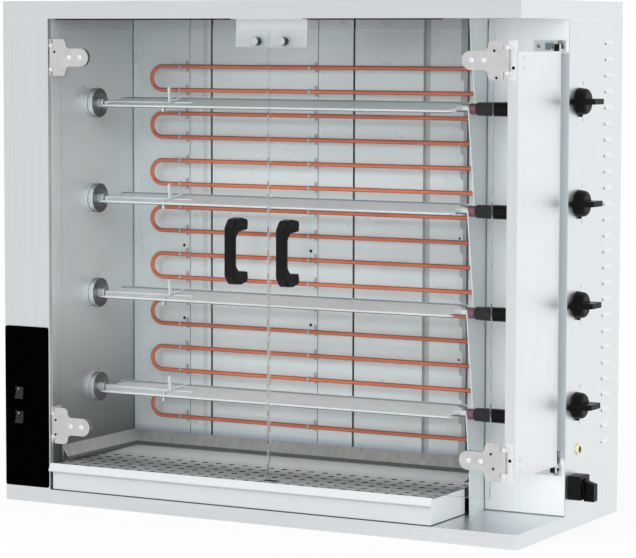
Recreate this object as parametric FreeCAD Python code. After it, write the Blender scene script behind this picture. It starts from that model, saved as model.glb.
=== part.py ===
"""Electric chicken rotisserie: a wide steel cabinet with a roasting chamber behind two glass doors,
four driven spits, heating elements on the back wall, a drive column on the left, a handle bay and a
control compartment on the right, and a drip tray that slides out at the bottom.

All sizes are in millimetres. The machine is drawn from its front left bottom corner, with x to the
right, y to the back and z up, and place() then moves the origin under the middle of the whole object.
"""
import FreeCAD, Part
import math
import os

V = FreeCAD.Vector
os.makedirs("parts", exist_ok=True)

# Cabinet
cabinet_width = 1130.0
cabinet_depth = 474.0
cabinet_height = 1000.0
sheet = 1.5
base_height = 28.0
base_return = 30.0
hood_height = 35.0
bend_radius = 2.0
column_width = 107.0
column_return = 12.0
bay_depth = 217.5
bay_seam = 2.0
bay_width = 168.0
chamber_depth = 313.0
plate_thickness = 2.0

# Reflector panels on the chamber's back wall: where each one ends from the left wall, and the gap after it
reflector_ends = ((137.2, 1.6), (187.7, 4.6), (437.2, 1.6), (516.7, 4.6))
reflector_corner_gap = 2.0
end_strip_width = 80.6
end_strip_gap = 2.6
fold_line_x = 21.0
fold_groove_width = 1.8
fold_groove_depth = 1.1
channel_from_right = 166.0
channel_width = 14.0
channel_depth = 7.0
comb_width = 14.0
comb_from_right = 83.5
comb_notch_height = 27.0
comb_notch_slant = 4.0
comb_notch_depth = 6.5
comb_standoff = 4.0

# Spits and their drive
spit_count = 4
top_spit_drop = 203.0
lowest_spit_z = 221.0
spit_y = 152.0
spit_tilt = 10.6
web_rise = 2.5
web_thickness = 2.0
blade_width = 80.0
rod_diameter = 6.0
rod_tip_length = 16.0
blade_start = 46.0
blade_end_gap = 15.0
blade_taper = 14.0
drive_bar_size = 10.0
drive_bar_length = 217.0
neck_radius = 6.0
tang_radius = 4.0
tang_length = 34.0
fork_offset = 172.0
fork_thickness = 3.0
fork_outline = ((-41.0, -7.0), (-31.0, -9.0), (-29.0, 2.0), (8.0, 2.0), (8.0, 6.0), (-4.0, 7.0),
                (-4.0, 36.0), (-11.0, 36.0), (-13.0, 7.0), (-36.0, 7.0))
fork_prong_radius = 1.5
fork_prong_length = 38.0
fork_prong_rise = 14.0
bush_radius = 10.5
bush_length = 14.0
bush_reach = 11.0
handle_length = 105.0
handle_small_radius = 12.6
handle_large_radius = 13.8
handle_collar = 3.0
boss_radius = 30.0
boss_length = 11.5
boss_gap = 1.5
disc_length = 11.0
hub_radius = 12.0
hub_length = 14.0
socket_depth = 16.0
socket_play = 0.25
socket_engagement = 12.5
shaft_radius = 8.0
running_clearance = 0.05
fixed_clearance = 0.1
spigot_radius = 15.0
notch_clearance = 0.3

# Gear motors inside the drive column
gearbox_size_y = 62.0
gearbox_size_z = 74.0
gearbox_length = 30.0
motor_radius = 27.0
motor_length = 36.0
standoff_radius = 4.0
standoff_length = 9.5
motor_shaft_depth = 22.0

# Slotted rack on the right wall that carries the spits' bushes
rack_tooth_y = 137.0
rack_lip_width = 3.9
rack_lip_drop = 16.0
rack_slope_y = 165.0
rack_slope_rise = 14.0
rack_slope_start_y = 139.0

# Heating elements
tube_radius = 4.25
element_standoff = 26.0
element_rise = 1.0
bend_left_x = 194.0
bend_right_reach = 26.0
leg_end_reach = 42.0
tube_hole_play = 1.0
clip_positions = (239.0, 540.0)
clip_width = 5.0
clip_wall = 1.2
clip_plate_height = 22.0
clip_plate_thickness = 2.0
ferrule_radius = 8.0
ferrule_length = 9.0
ceramic_radius = 5.5
ceramic_length = 12.0
stud_radius = 2.0
stud_length = 10.0

# Grease skirts above the drip tray
skirt_top_z = 112.0
skirt_bottom_z = 86.0
skirt_reach = 18.0
skirt_front_left = 44.0

# Drip tray and its perforated insert
tray_side_gap = 6.0
tray_back_gap = 9.0
tray_height = 50.0
tray_wall = 1.2
tray_bottom_radius = 4.0
tray_front_y = 2.0
tray_step_y = 148.0
tray_step_x = 12.0
tray_lip_projection = 9.0
tray_lip_top = 82.0
tray_lip_bottom = 66.0
tray_lip_wall = 2.0
tray_lip_left_overhang = 5.0
tray_lip_right_overhang = 3.0
insert_thickness = 1.5
insert_play = 0.6
insert_fold_y = 191.0
insert_rise = 3.0
insert_ledge = 4.0
hole_radius = 6.2
hole_columns = 28
hole_rows = 6
hole_pitch_x = 30.35
hole_pitch_y = 30.8
first_hole_y = 18.0
finger_slot_x = 594.0
finger_slot_y = 40.0
finger_slot_length = 36.0
finger_slot_width = 16.0

# Glass doors and their hinges
glass_thickness = 5.0
glass_front_y = 4.0
glass_bottom_z = 88.0
glass_top_gap = 57.0
glass_meeting_x = 607.0
glass_gap = 4.0
left_glass_pin_gap = 21.0
right_glass_pin_gap = 26.7
pin_radius = 2.5
pin_y = 5.0
left_pin_inset = 5.8
post_pin_inset = 21.5
hinge_top_drop = 54.0
hinge_bottom_rise = 70.0
hinge_base_height = 72.0
hinge_base_width = 36.0
hinge_arm_length = 88.0
hinge_arm_height = 35.0
hinge_plate_thickness = 3.0
hinge_base_start = 5.5
hinge_corner_radius = 9.0
barrel_radius = 4.0
barrel_height = 40.0
ear_thickness = 6.0
ear_gap = 0.3
leaf_thickness = 2.0
leaf_reach = 34.0
clamp_screw_radius = 3.0
clamp_hole_play = 0.4
clamp_screw_spacing = 25.0
clamp_screw_inset = 19.0
door_handle_inset = 54.0
door_handle_width = 20.0
door_handle_height = 128.0
door_handle_reach = 55.0
door_handle_grip = 14.0
door_handle_foot = 20.0
door_handle_bend = 10.0
door_handle_rise = 9.5

# Swinging post that carries the right door
post_front_y = 12.0
post_rear_gap = 14.5
post_outer_inset = 10.0
post_flange = 21.0
post_lip = 10.0
post_bottom_z = 127.0
post_top_drop = 95.0
pivot_inset = 18.5
pivot_gap = 13.5
pivot_radius = 3.0
pivot_depth = 16.0
pivot_ear_thickness = 4.0
pivot_ear_gap = 0.4
pivot_plate_width = 63.0
pivot_plate_height = 20.0
pivot_head_radius = 6.5
pivot_head_height = 9.0
pivot_tab_width = 7.0
pivot_tab_depth = 4.0
pivot_tab_height = 28.0
post_cap_inset = 9.0

# Ceiling flange that shows as a dark line under the hood
ceiling_flange_drop = 2.4
ceiling_flange_gap = 0.5

# Door catch under the hood
catch_left = 524.0
catch_width = 155.0
catch_drop = 54.0
catch_y = 24.0
catch_flange = 22.0
magnet_radius = 8.0
magnet_middle_shift = 5.0
magnet_offset = 29.3
magnet_rise = 11.0
magnet_gap = 0.4
magnet_stud_radius = 3.0

# Control fascia on the drive column
fascia_inset = 2.0
fascia_bottom_gap = 3.0
fascia_height = 322.0
fascia_thickness = 3.0
fascia_corner = 5.0
rocker_x = 37.5
rocker_upper_z = 217.5
rocker_lower_z = 168.5
bezel_width = 27.0
bezel_height = 36.0
bezel_thickness = 2.5
rocker_width = 18.0
rocker_height = 27.0
rocker_play = 0.6
rocker_depth = 12.0
rocker_tilt = 8.0
rocker_housing_depth = 24.0
rocker_housing_wall = 1.5

# Knobs, lamp and main switch on the right side
knob_setback = 49.5
knob_rise = 14.0
knob_radius = 26.0
knob_skirt_height = 18.0
knob_skirt_taper = 2.5
knob_dome_radius = 8.0
knob_tab_radius = 3.2
knob_tab_height = 5.0
knob_panel_gap = 0.6
knob_grip_height = 39.0
knob_grip_thickness = 10.4
knob_nose = 17.0
knob_nose_low = 3.0
knob_nose_high = 18.0
knob_shaft_radius = 3.0
knob_shaft_depth = 26.0
knob_hole_play = 1.0
regulator_size_y = 42.0
regulator_size_z = 46.0
regulator_depth = 34.0
main_switch_setback = 34.5
main_switch_z = 82.0
main_case_width = 45.0
main_case_height = 46.0
main_case_reach = 26.0
main_dial_radius = 17.0
main_dial_height = 4.0
main_lever_width = 20.0
main_lever_above = 8.0
main_lever_slope = 6.0
main_lever_below = 26.0
main_lever_reach = 48.0
lamp_setback = 59.5
lamp_z = 149.5
lamp_radius = 10.5
lamp_lens_radius = 6.5
lamp_bezel_height = 4.0
lamp_lens_height = 6.0
lamp_body_radius = 7.5
lamp_body_depth = 26.0

# Louvres in the side panel and rear cover, and the cable gland
louvre_count = 26
louvre_first_z = 147.0
louvre_top_drop = 83.0
louvre_length = 37.0
louvre_from_back = 67.0
louvre_slot = 6.5
louvre_lift = 3.5
louvre_wall = 1.0
rear_louvre_count = 8
rear_louvre_length = 120.0
rear_louvre_first_z = 640.0
gland_inset = 90.0
gland_z = 90.0
gland_hex_radius = 13.0
gland_length = 15.0
gland_nut_length = 7.0
gland_bore = 5.0
gland_thread_radius = 9.0

# Places that follow from the sizes above
hood_bottom_z = cabinet_height - hood_height
bay_left = cabinet_width - bay_width
rack_inner_x = bay_left - plate_thickness
spit_pitch = (cabinet_height - top_spit_drop - lowest_spit_z) / (spit_count - 1)
spit_levels = [lowest_spit_z + spit_pitch * (spit_count - 1 - i) for i in range(spit_count)]
leg_pitch = spit_pitch / 4
element_y = chamber_depth - element_standoff
blade_x0 = column_width + blade_start
blade_x1 = rack_inner_x - blade_end_gap
boss_x1 = column_width + boss_length
disc_x0 = boss_x1 + boss_gap
disc_x1 = disc_x0 + disc_length
hub_x1 = disc_x1 + hub_length
drive_bar_x0 = hub_x1 - socket_engagement
neck_x1 = bay_left + bush_reach
bush_x0 = neck_x1 - bush_length
handle_x1 = neck_x1 + handle_length
gearbox_x1 = column_width - sheet - standoff_length
gearbox_x0 = gearbox_x1 - gearbox_length
post_outer_x = cabinet_width - post_outer_inset
post_inner_x = post_outer_x - post_flange
post_rear_y = bay_depth - post_rear_gap
post_top_z = cabinet_height - post_top_drop
pivot_x = cabinet_width - pivot_inset
pivot_y = bay_depth - pivot_gap
left_pin_x = column_width + left_pin_inset
right_pin_x = post_inner_x + 1.0
glass_top_z = cabinet_height - glass_top_gap
hinge_top_z = glass_top_z - hinge_top_drop
hinge_bottom_z = glass_bottom_z + hinge_bottom_rise
door_handle_middle_z = (glass_bottom_z + glass_top_z) / 2 + door_handle_rise
knob_y = bay_depth + knob_setback
main_switch_y = bay_depth + main_switch_setback
lamp_y = bay_depth + lamp_setback
louvre_y = cabinet_depth - louvre_from_back
louvre_pitch = (cabinet_height - louvre_top_drop - louvre_first_z) / (louvre_count - 1)
gland_x = cabinet_width - gland_inset
rear_inner_y = cabinet_depth - sheet
tray_left = column_width + tray_side_gap
tray_right = bay_left - tray_side_gap - plate_thickness
tray_bottom_z = base_height
tray_back_y = chamber_depth - tray_back_gap
insert_z = tray_bottom_z + tray_height
door_reach = door_handle_reach - glass_front_y
side_reach = max(knob_grip_height + knob_panel_gap, main_lever_reach)
overall_x = cabinet_width + side_reach
overall_y = door_reach + cabinet_depth + gland_length
middle = V(overall_x / 2.0, overall_y / 2.0 - door_reach, 0.0)


def box(x0, x1, y0, y1, z0, z1):
    return Part.makeBox(x1 - x0, y1 - y0, z1 - z0, V(x0, y0, z0))


def rod_x(x0, x1, y, z, radius):
    return Part.makeCylinder(radius, x1 - x0, V(x0, y, z), V(1, 0, 0))


def rod_y(y0, y1, x, z, radius):
    return Part.makeCylinder(radius, y1 - y0, V(x, y0, z), V(0, 1, 0))


def rod_z(z0, z1, x, y, radius):
    return Part.makeCylinder(radius, z1 - z0, V(x, y, z0), V(0, 0, 1))


def fuse(shapes):
    joined = shapes[0].multiFuse(shapes[1:]) if len(shapes) > 1 else shapes[0]
    return joined.removeSplitter()


def prism(points, travel):
    """Closed outline of points, pushed along the travel vector."""
    outline = Part.makePolygon(list(points) + [points[0]])
    return Part.Face(outline).extrude(travel)


def round_edges(shape, radius, wanted):
    """Rounds each edge that wanted(edge) picks."""
    edges = [edge for edge in shape.Edges if wanted(edge)]
    return shape.makeFillet(radius, edges) if edges else shape


def along(edge, axis):
    """True when a straight edge runs along the axis, 0 for x, 1 for y and 2 for z."""
    if edge.Curve.TypeId != "Part::GeomLine":
        return False
    direction = edge.tangentAt(edge.FirstParameter)
    return abs(abs(direction[axis]) - 1.0) < 1e-6


def middle_of(edge):
    return edge.valueAt((edge.FirstParameter + edge.LastParameter) / 2.0)


def place(shape):
    """Moves a finished shape so that the origin lies under the middle of the whole object."""
    moved = shape.copy()
    moved.translate(middle * -1.0)
    return moved


def save(name, shapes):
    """Writes one node; a list of shapes is a group of separate solids."""
    solids = []
    for shape in shapes if isinstance(shapes, list) else [shapes]:
        solids += shape.Solids
    for solid in solids:
        if not solid.isValid() or solid.Volume <= 0.0:
            raise ValueError(f"{name}: a solid is not valid")
    placed = [place(solid) for solid in solids]
    whole = placed[0] if len(placed) == 1 else Part.makeCompound(placed)
    whole.exportStep(f"parts/{name}.step")


# Cabinet shell

def base_pan():
    """Folded pan that the machine stands on: a top, four skirts and returns along the bottom."""
    outer = box(0, cabinet_width, 0, cabinet_depth, 0, base_height)
    outer = round_edges(outer, bend_radius, lambda e: along(e, 2))
    inner = box(sheet, cabinet_width - sheet, sheet, cabinet_depth - sheet, sheet, base_height - sheet)
    mouth = box(base_return, cabinet_width - base_return, base_return, cabinet_depth - base_return,
                -1.0, sheet + 1.0)
    return outer.cut(inner).cut(mouth)


def left_casing():
    """Front and left side of the drive column, folded back along the chamber's edge."""
    front = box(0, column_width, 0, sheet, base_height, hood_bottom_z)
    side = box(0, sheet, 0, rear_inner_y, base_height, hood_bottom_z)
    edge = box(column_width - sheet, column_width, 0, column_return, base_height, hood_bottom_z)
    shell = fuse([front, side, edge])

    def corner(e):
        point = middle_of(e)
        at_side = abs(point.x) < 0.01 or abs(point.x - column_width) < 0.01
        return along(e, 2) and at_side and abs(point.y) < 0.01

    shell = round_edges(shell, sheet, corner)
    for level in (rocker_upper_z, rocker_lower_z):
        shell = shell.cut(rocker_window(level, -1.0, sheet + 1.0, rocker_housing_wall))
    return shell


def left_cavity_wall():
    """Left wall of the roasting chamber, with a hole for each drive bearing."""
    wall = box(column_width - sheet, column_width, column_return, rear_inner_y, base_height, hood_bottom_z)
    for level in spit_levels:
        wall = wall.cut(rod_x(column_width - 5.0, column_width + 5.0, spit_y, level,
                              spigot_radius + fixed_clearance))
        for dy, dz in standoff_places():
            hole = rod_x(column_width - 5.0, column_width + 5.0, spit_y + dy, level + dz, standoff_radius / 2)
            wall = wall.cut(hole)
    return wall


def hood():
    """Flat hood over the whole machine, closed below except over the roasting chamber."""
    outer = box(0, cabinet_width, 0, cabinet_depth, hood_bottom_z, cabinet_height)
    outer = round_edges(outer, bend_radius, lambda e: along(e, 2) or middle_of(e).z > cabinet_height - 0.01)
    inner = box(sheet, cabinet_width - sheet, sheet, cabinet_depth - sheet,
                hood_bottom_z + sheet, cabinet_height - sheet)
    mouth = box(column_width, rack_inner_x, column_return, chamber_depth, hood_bottom_z - 1.0,
                hood_bottom_z + sheet + 1.0)
    return outer.cut(inner).cut(mouth)


def cavity_ceiling():
    """Ceiling of the roasting chamber, laid over the mouth in the hood, with a flange hanging through it."""
    low = hood_bottom_z + sheet
    overlap = 6.0
    plate = box(column_width - overlap, rack_inner_x + overlap, column_return - overlap,
                chamber_depth + overlap, low, low + sheet)
    flange_y = catch_y + sheet + ceiling_flange_gap
    flange = box(column_width, rack_inner_x, flange_y, flange_y + sheet,
                 hood_bottom_z - ceiling_flange_drop, low)
    return fuse([plate, flange])


def back_reflectors():
    """Six reflector panels on the chamber's back wall, with dark gaps between them."""
    back = chamber_depth + sheet
    panels = []
    x0 = column_width + reflector_corner_gap
    for end, gap in reflector_ends:
        panels.append(box(x0, column_width + end, chamber_depth, back, base_height, hood_bottom_z))
        x0 = column_width + end + gap
    fold_x = column_width + fold_line_x
    panels[0] = panels[0].cut(box(fold_x - fold_groove_width / 2, fold_x + fold_groove_width / 2,
                                  chamber_depth - 1.0, chamber_depth + fold_groove_depth,
                                  base_height, hood_bottom_z))
    channel_x1 = rack_inner_x - channel_from_right
    channel_x0 = channel_x1 - channel_width
    strip_x = rack_inner_x - end_strip_width
    channelled = fuse([
        box(x0, channel_x0, chamber_depth, back, base_height, hood_bottom_z),
        box(channel_x0 - sheet, channel_x0, chamber_depth, back + channel_depth, base_height, hood_bottom_z),
        box(channel_x0 - sheet, channel_x1 + sheet, back + channel_depth - sheet, back + channel_depth,
            base_height, hood_bottom_z),
        box(channel_x1, channel_x1 + sheet, chamber_depth, back + channel_depth, base_height, hood_bottom_z),
        box(channel_x1, strip_x - end_strip_gap, chamber_depth, back, base_height, hood_bottom_z),
    ])
    end_strip = box(strip_x, rack_inner_x, chamber_depth, back, base_height, hood_bottom_z)
    return panels + [channelled, end_strip]


def louvre(face, length, slot_z):
    """Slot and pressed lip of one louvre, drawn for a panel whose outside looks along +x at x = face."""
    slot = box(face - sheet - 1.0, face + 1.0, -length / 2, length / 2, slot_z, slot_z + louvre_slot)
    top = slot_z + louvre_slot
    lip = prism([V(face - sheet, -length / 2, top + louvre_wall), V(face, -length / 2, top + louvre_wall),
                 V(face + louvre_lift, -length / 2, slot_z),
                 V(face + louvre_lift - louvre_wall, -length / 2, slot_z),
                 V(face - sheet, -length / 2, top - louvre_wall)], V(0, length, 0))
    return slot, lip


def right_side_panel():
    """Outer side of the control compartment, with louvres and holes for knobs, lamp and switch."""
    face = cabinet_width
    panel = box(face - sheet, face, bay_depth, rear_inner_y, base_height, hood_bottom_z)
    lips = []
    for index in range(louvre_count):
        slot, lip = louvre(face, louvre_length, louvre_first_z + index * louvre_pitch)
        slot.translate(V(0, louvre_y, 0))
        lip.translate(V(0, louvre_y, 0))
        panel = panel.cut(slot)
        lips.append(lip)
    for level in spit_levels:
        hole = rod_x(face - 5.0, face + 5.0, knob_y, level + knob_rise, knob_shaft_radius + knob_hole_play)
        panel = panel.cut(hole)
    panel = panel.cut(rod_x(face - 5.0, face + 5.0, lamp_y, lamp_z, lamp_body_radius + fixed_clearance))
    panel = panel.cut(rod_x(face - 5.0, face + 5.0, main_switch_y, main_switch_z,
                            knob_shaft_radius + knob_hole_play))
    return fuse([panel] + lips)


def right_front_panel():
    """Front of the control compartment, set back behind the handle bay."""
    return box(bay_left + bay_seam, cabinet_width - sheet, bay_depth, bay_depth + sheet,
               base_height, hood_bottom_z)


def rear_cover():
    """Back sheet of the machine, with cooling louvres and the hole for the cable gland."""
    cover = box(0, cabinet_width, rear_inner_y, cabinet_depth, base_height, hood_bottom_z)
    lips = []
    centres = (column_width / 2 + 20.0, cabinet_width - bay_width / 2)
    for centre in centres:
        length = min(rear_louvre_length, column_width - 4 * sheet)
        for index in range(rear_louvre_count):
            slot, lip = louvre(0.0, length, rear_louvre_first_z + index * louvre_pitch)
            for piece in (slot, lip):
                piece.rotate(V(0, 0, 0), V(0, 0, 1), 90)
                piece.translate(V(centre, cabinet_depth, 0))
            cover = cover.cut(slot)
            lips.append(lip)
    cover = cover.cut(rod_y(rear_inner_y - 5.0, cabinet_depth + 5.0, gland_x, gland_z,
                            gland_thread_radius + fixed_clearance))
    return fuse([cover] + lips)


def cable_gland():
    """Gland for the mains cable: a hexagon nut outside, a thread through the cover and a nut inside."""
    def hexagon(y0, y1, radius):
        points = [V(gland_x + radius * math.cos(math.radians(60 * k)), y0,
                    gland_z + radius * math.sin(math.radians(60 * k))) for k in range(6)]
        return prism(points, V(0, y1 - y0, 0))

    outer = hexagon(cabinet_depth, cabinet_depth + gland_nut_length, gland_hex_radius)
    cap = rod_y(cabinet_depth + gland_nut_length, cabinet_depth + gland_length, gland_x, gland_z,
                gland_thread_radius)
    cap = round_edges(cap, 2.0, lambda e: middle_of(e).y > cabinet_depth + gland_length - 0.01)
    thread = rod_y(rear_inner_y - 10.0, cabinet_depth, gland_x, gland_z, gland_thread_radius)
    inner = hexagon(rear_inner_y - 6.0, rear_inner_y, gland_hex_radius)
    bore = rod_y(rear_inner_y - 20.0, cabinet_depth + gland_length + 1.0, gland_x, gland_z, gland_bore)
    return fuse([outer, cap, thread, inner]).cut(bore)


# Roasting chamber

def rack_outline():
    """Outline of the right wall: a saw-tooth front edge with an open seat under each spit."""
    seat = bush_radius + notch_clearance
    points = [V(0, rear_inner_y, base_height), V(0, rear_inner_y, hood_bottom_z)]
    points.append(V(0, rack_slope_start_y, hood_bottom_z))
    edges = []
    for level in spit_levels:
        points.append(V(0, rack_slope_y, level + rack_slope_rise))
        points.append(V(0, spit_y + seat, level))
        edges.append((len(points) - 1, V(0, spit_y, level - seat)))
        points.append(V(0, spit_y - seat, level))
        points.append(V(0, spit_y - seat - rack_lip_width + 1.5, level))
        points.append(V(0, rack_tooth_y, level - 4.0))
        points.append(V(0, rack_slope_start_y, level - rack_lip_drop))
    drop = spit_levels[-1] - rack_lip_drop - skirt_top_z
    slope = (rack_slope_y - rack_slope_start_y) / (spit_pitch - rack_lip_drop - rack_slope_rise)
    foot_y = rack_slope_start_y + drop * slope
    points.append(V(0, foot_y, skirt_top_z))
    points.append(V(0, foot_y, base_height))
    arcs = dict(edges)
    wires = []
    for index, start in enumerate(points):
        end = points[(index + 1) % len(points)]
        if index in arcs:
            wires.append(Part.Arc(start, arcs[index], end).toShape())
        else:
            wires.append(Part.LineSegment(start, end).toShape())
    return Part.Face(Part.Wire(wires))


def spit_rack_plate():
    """Right wall of the chamber, whose front edge is the rack, with holes for the element tubes."""
    face = rack_outline()
    face.translate(V(rack_inner_x, 0, 0))
    plate = face.extrude(V(plate_thickness, 0, 0))
    holes = [rod_x(rack_inner_x - 1.0, bay_left + 1.0, element_y, level, tube_radius + tube_hole_play)
             for level in leg_levels()]
    return plate.cut(Part.makeCompound(holes))


def sloped_skirt(wall_point, travel, inward):
    """One sloped sheet from a wall down to its free edge; inward is the unit vector off the wall."""
    top = wall_point
    edge = wall_point + inward * skirt_reach + V(0, 0, skirt_bottom_z - skirt_top_z)
    down = V(0, 0, -sheet * 1.2)
    return prism([top, edge, edge + down, top + down], travel)


def grease_skirts():
    """Sloped skirts on the left, back and right walls that lead the fat into the tray."""
    left = sloped_skirt(V(column_width, skirt_front_left, skirt_top_z),
                        V(0, chamber_depth - skirt_front_left, 0), V(1, 0, 0))
    back = sloped_skirt(V(column_width, chamber_depth, skirt_top_z),
                        V(rack_inner_x - column_width, 0, 0), V(0, -1, 0))
    front_right = rack_slope_y + 8.0
    right = sloped_skirt(V(rack_inner_x, front_right, skirt_top_z),
                         V(0, chamber_depth - front_right, 0), V(-1, 0, 0))
    return fuse([left, back, right])


def leg_levels():
    """Heights of all element legs, four to each spit."""
    levels = []
    for level in spit_levels:
        levels += [level + element_rise + leg_pitch * (1.5 - k) for k in range(4)]
    return levels


def half_ring(x, z, side):
    """Half turn of element tube in the plane y = element_y; side is -1 for left and 1 for right."""
    ring = Part.makeTorus(leg_pitch / 2, tube_radius, V(x, element_y, z), V(0, 1, 0))
    reach = leg_pitch
    keep = box(x, x + reach, element_y - reach, element_y + reach, z - reach, z + reach)
    if side < 0:
        keep.translate(V(-reach, 0, 0))
    return ring.common(keep)


def heating_element(index):
    """One element: four legs joined by two bends on the left and one behind the right wall."""
    top, second, third, bottom = leg_levels()[4 * index:4 * index + 4]
    right_bend = bay_left + bend_right_reach
    end_x = bay_left + leg_end_reach
    legs = [rod_x(bend_left_x, end_x, element_y, top, tube_radius),
            rod_x(bend_left_x, right_bend, element_y, second, tube_radius),
            rod_x(bend_left_x, right_bend, element_y, third, tube_radius),
            rod_x(bend_left_x, end_x, element_y, bottom, tube_radius)]
    bends = [half_ring(bend_left_x, (top + second) / 2, -1),
             half_ring(bend_left_x, (third + bottom) / 2, -1),
             half_ring(right_bend, (second + third) / 2, 1)]
    return fuse(legs + bends)


def element_supports():
    """Clips that hold each leg off the back wall, and the notched comb strip near the right wall."""
    pieces = []
    for x in clip_positions:
        x0 = x - clip_width / 2
        x1 = x + clip_width / 2
        for level in leg_levels():
            ring = rod_x(x0, x1, element_y, level, tube_radius + clip_wall)
            stem = box(x0, x1, element_y, chamber_depth, level - clip_wall, level + clip_wall)
            plate = box(x0, x1, chamber_depth - clip_plate_thickness, chamber_depth,
                        level - clip_plate_height / 2, level + clip_plate_height / 2)
            tube = rod_x(x0 - 1.0, x1 + 1.0, element_y, level, tube_radius + fixed_clearance)
            pieces.append(fuse([ring, stem, plate]).cut(tube))
    comb_x1 = rack_inner_x - comb_from_right
    comb_x0 = comb_x1 - comb_width
    strip = box(comb_x0, comb_x1, chamber_depth - comb_standoff, chamber_depth, skirt_top_z, hood_bottom_z)
    for level in leg_levels():
        top = level + comb_notch_height
        notch = prism([V(comb_x0 - 1.0, chamber_depth - 10.0, level),
                       V(comb_x0 + comb_notch_depth, chamber_depth - 10.0, level),
                       V(comb_x0 + comb_notch_depth, chamber_depth - 10.0, top - comb_notch_slant),
                       V(comb_x0, chamber_depth - 10.0, top),
                       V(comb_x0 - 1.0, chamber_depth - 10.0, top)], V(0, 20.0, 0))
        strip = strip.cut(notch)
    return pieces + [strip]


def element_terminals():
    """Ferrules on the right wall, and a ceramic bead and stud on each free tube end."""
    pieces = []
    end_x = bay_left + leg_end_reach
    for number, level in enumerate(leg_levels()):
        ring = rod_x(bay_left, bay_left + ferrule_length, element_y, level, ferrule_radius)
        tube = rod_x(bay_left - 1.0, bay_left + ferrule_length + 1.0, element_y, level,
                     tube_radius + fixed_clearance)
        pieces.append(ring.cut(tube))
        if number % 4 in (0, 3):
            bead = rod_x(end_x, end_x + ceramic_length, element_y, level, ceramic_radius)
            stud = rod_x(end_x + ceramic_length, end_x + ceramic_length + stud_length, element_y, level,
                         stud_radius)
            pieces.append(fuse([bead, stud]))
    return pieces


# Spit drive

def standoff_places():
    """Corners of a gear motor's four standoffs, from the spit axis."""
    dy = gearbox_size_y / 2 - standoff_radius
    dz = gearbox_size_z / 2 - standoff_radius
    return [(-dy, -dz), (dy, -dz), (-dy, dz), (dy, dz)]


def gear_motors():
    """One gear motor behind each spit, on four standoffs, with a hollow output shaft."""
    motors = []
    for level in spit_levels:
        case = box(gearbox_x0, gearbox_x1, spit_y - gearbox_size_y / 2, spit_y + gearbox_size_y / 2,
                   level - gearbox_size_z / 2, level + gearbox_size_z / 2)
        case = round_edges(case, 4.0, lambda e: along(e, 0))
        motor = rod_x(gearbox_x0 - motor_length, gearbox_x0, spit_y, level - 8.0, motor_radius)
        posts = [rod_x(gearbox_x1, column_width - sheet, spit_y + dy, level + dz, standoff_radius)
                 for dy, dz in standoff_places()]
        bore = rod_x(gearbox_x1 - motor_shaft_depth - 2.0, gearbox_x1 + 1.0, spit_y, level,
                     shaft_radius + running_clearance)
        motors.append(fuse([case, motor] + posts).cut(bore))
    return motors


def socket_bearings():
    """Fixed steel bosses on the chamber's left wall that carry the drive shafts."""
    bosses = []
    for level in spit_levels:
        boss = rod_x(column_width, boss_x1, spit_y, level, boss_radius)
        boss = round_edges(boss, 1.0, lambda e: middle_of(e).x > boss_x1 - 0.01)
        spigot = rod_x(column_width - 7.0, column_width, spit_y, level, spigot_radius)
        bore = rod_x(column_width - 8.0, boss_x1 + 1.0, spit_y, level, shaft_radius + running_clearance)
        bosses.append(fuse([boss, spigot]).cut(bore))
    return bosses


def square_bar(x0, x1, size, level):
    """Square bar along x on a spit's axis, turned with the blade."""
    half = size / 2
    bar = box(x0, x1, spit_y - half, spit_y + half, level - half, level + half)
    bar.rotate(V(x0, spit_y, level), V(1, 0, 0), spit_tilt)
    return bar


def drive_socket(index):
    """Turning disc and hub with a square socket, on a shaft that reaches into the gear motor."""
    level = spit_levels[index]
    disc = rod_x(disc_x0, disc_x1, spit_y, level, boss_radius)
    disc = round_edges(disc, 1.2, lambda e: e.Curve.TypeId == "Part::GeomCircle")
    hub = rod_x(disc_x1, hub_x1, spit_y, level, hub_radius)
    hub = round_edges(hub, 1.0, lambda e: middle_of(e).x > hub_x1 - 0.01)
    shaft = rod_x(gearbox_x1 - motor_shaft_depth, disc_x0, spit_y, level, shaft_radius)
    recess = square_bar(hub_x1 - socket_depth, hub_x1 + 1.0, drive_bar_size + 2 * socket_play, level)
    return fuse([disc, hub, shaft]).cut(recess)


# Spits

def blade_point(x, u, n, level):
    """Point from a place across the blade (u) and off it (n), after the blade's tilt."""
    angle = math.radians(spit_tilt)
    dy = u * math.cos(angle) - n * math.sin(angle)
    dz = u * math.sin(angle) + n * math.cos(angle)
    return V(x, spit_y + dy, level + dz)


def edge_rod(u, level):
    """Round rod along one edge of the blade, pointed at its left end and at its right one."""
    radius = rod_diameter / 2
    start = blade_point(blade_x0 + rod_tip_length, u, web_rise, level)
    tip = Part.makeCone(0.6, radius, rod_tip_length, blade_point(blade_x0, u, web_rise, level), V(1, 0, 0))
    length = blade_x1 - blade_taper - blade_x0 - rod_tip_length
    body = Part.makeCylinder(radius, length, start, V(1, 0, 0))
    tail = Part.makeCone(radius, 0.6, blade_taper, blade_point(blade_x1 - blade_taper, u, web_rise, level),
                         V(1, 0, 0))
    return [tip, body, tail]


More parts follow.
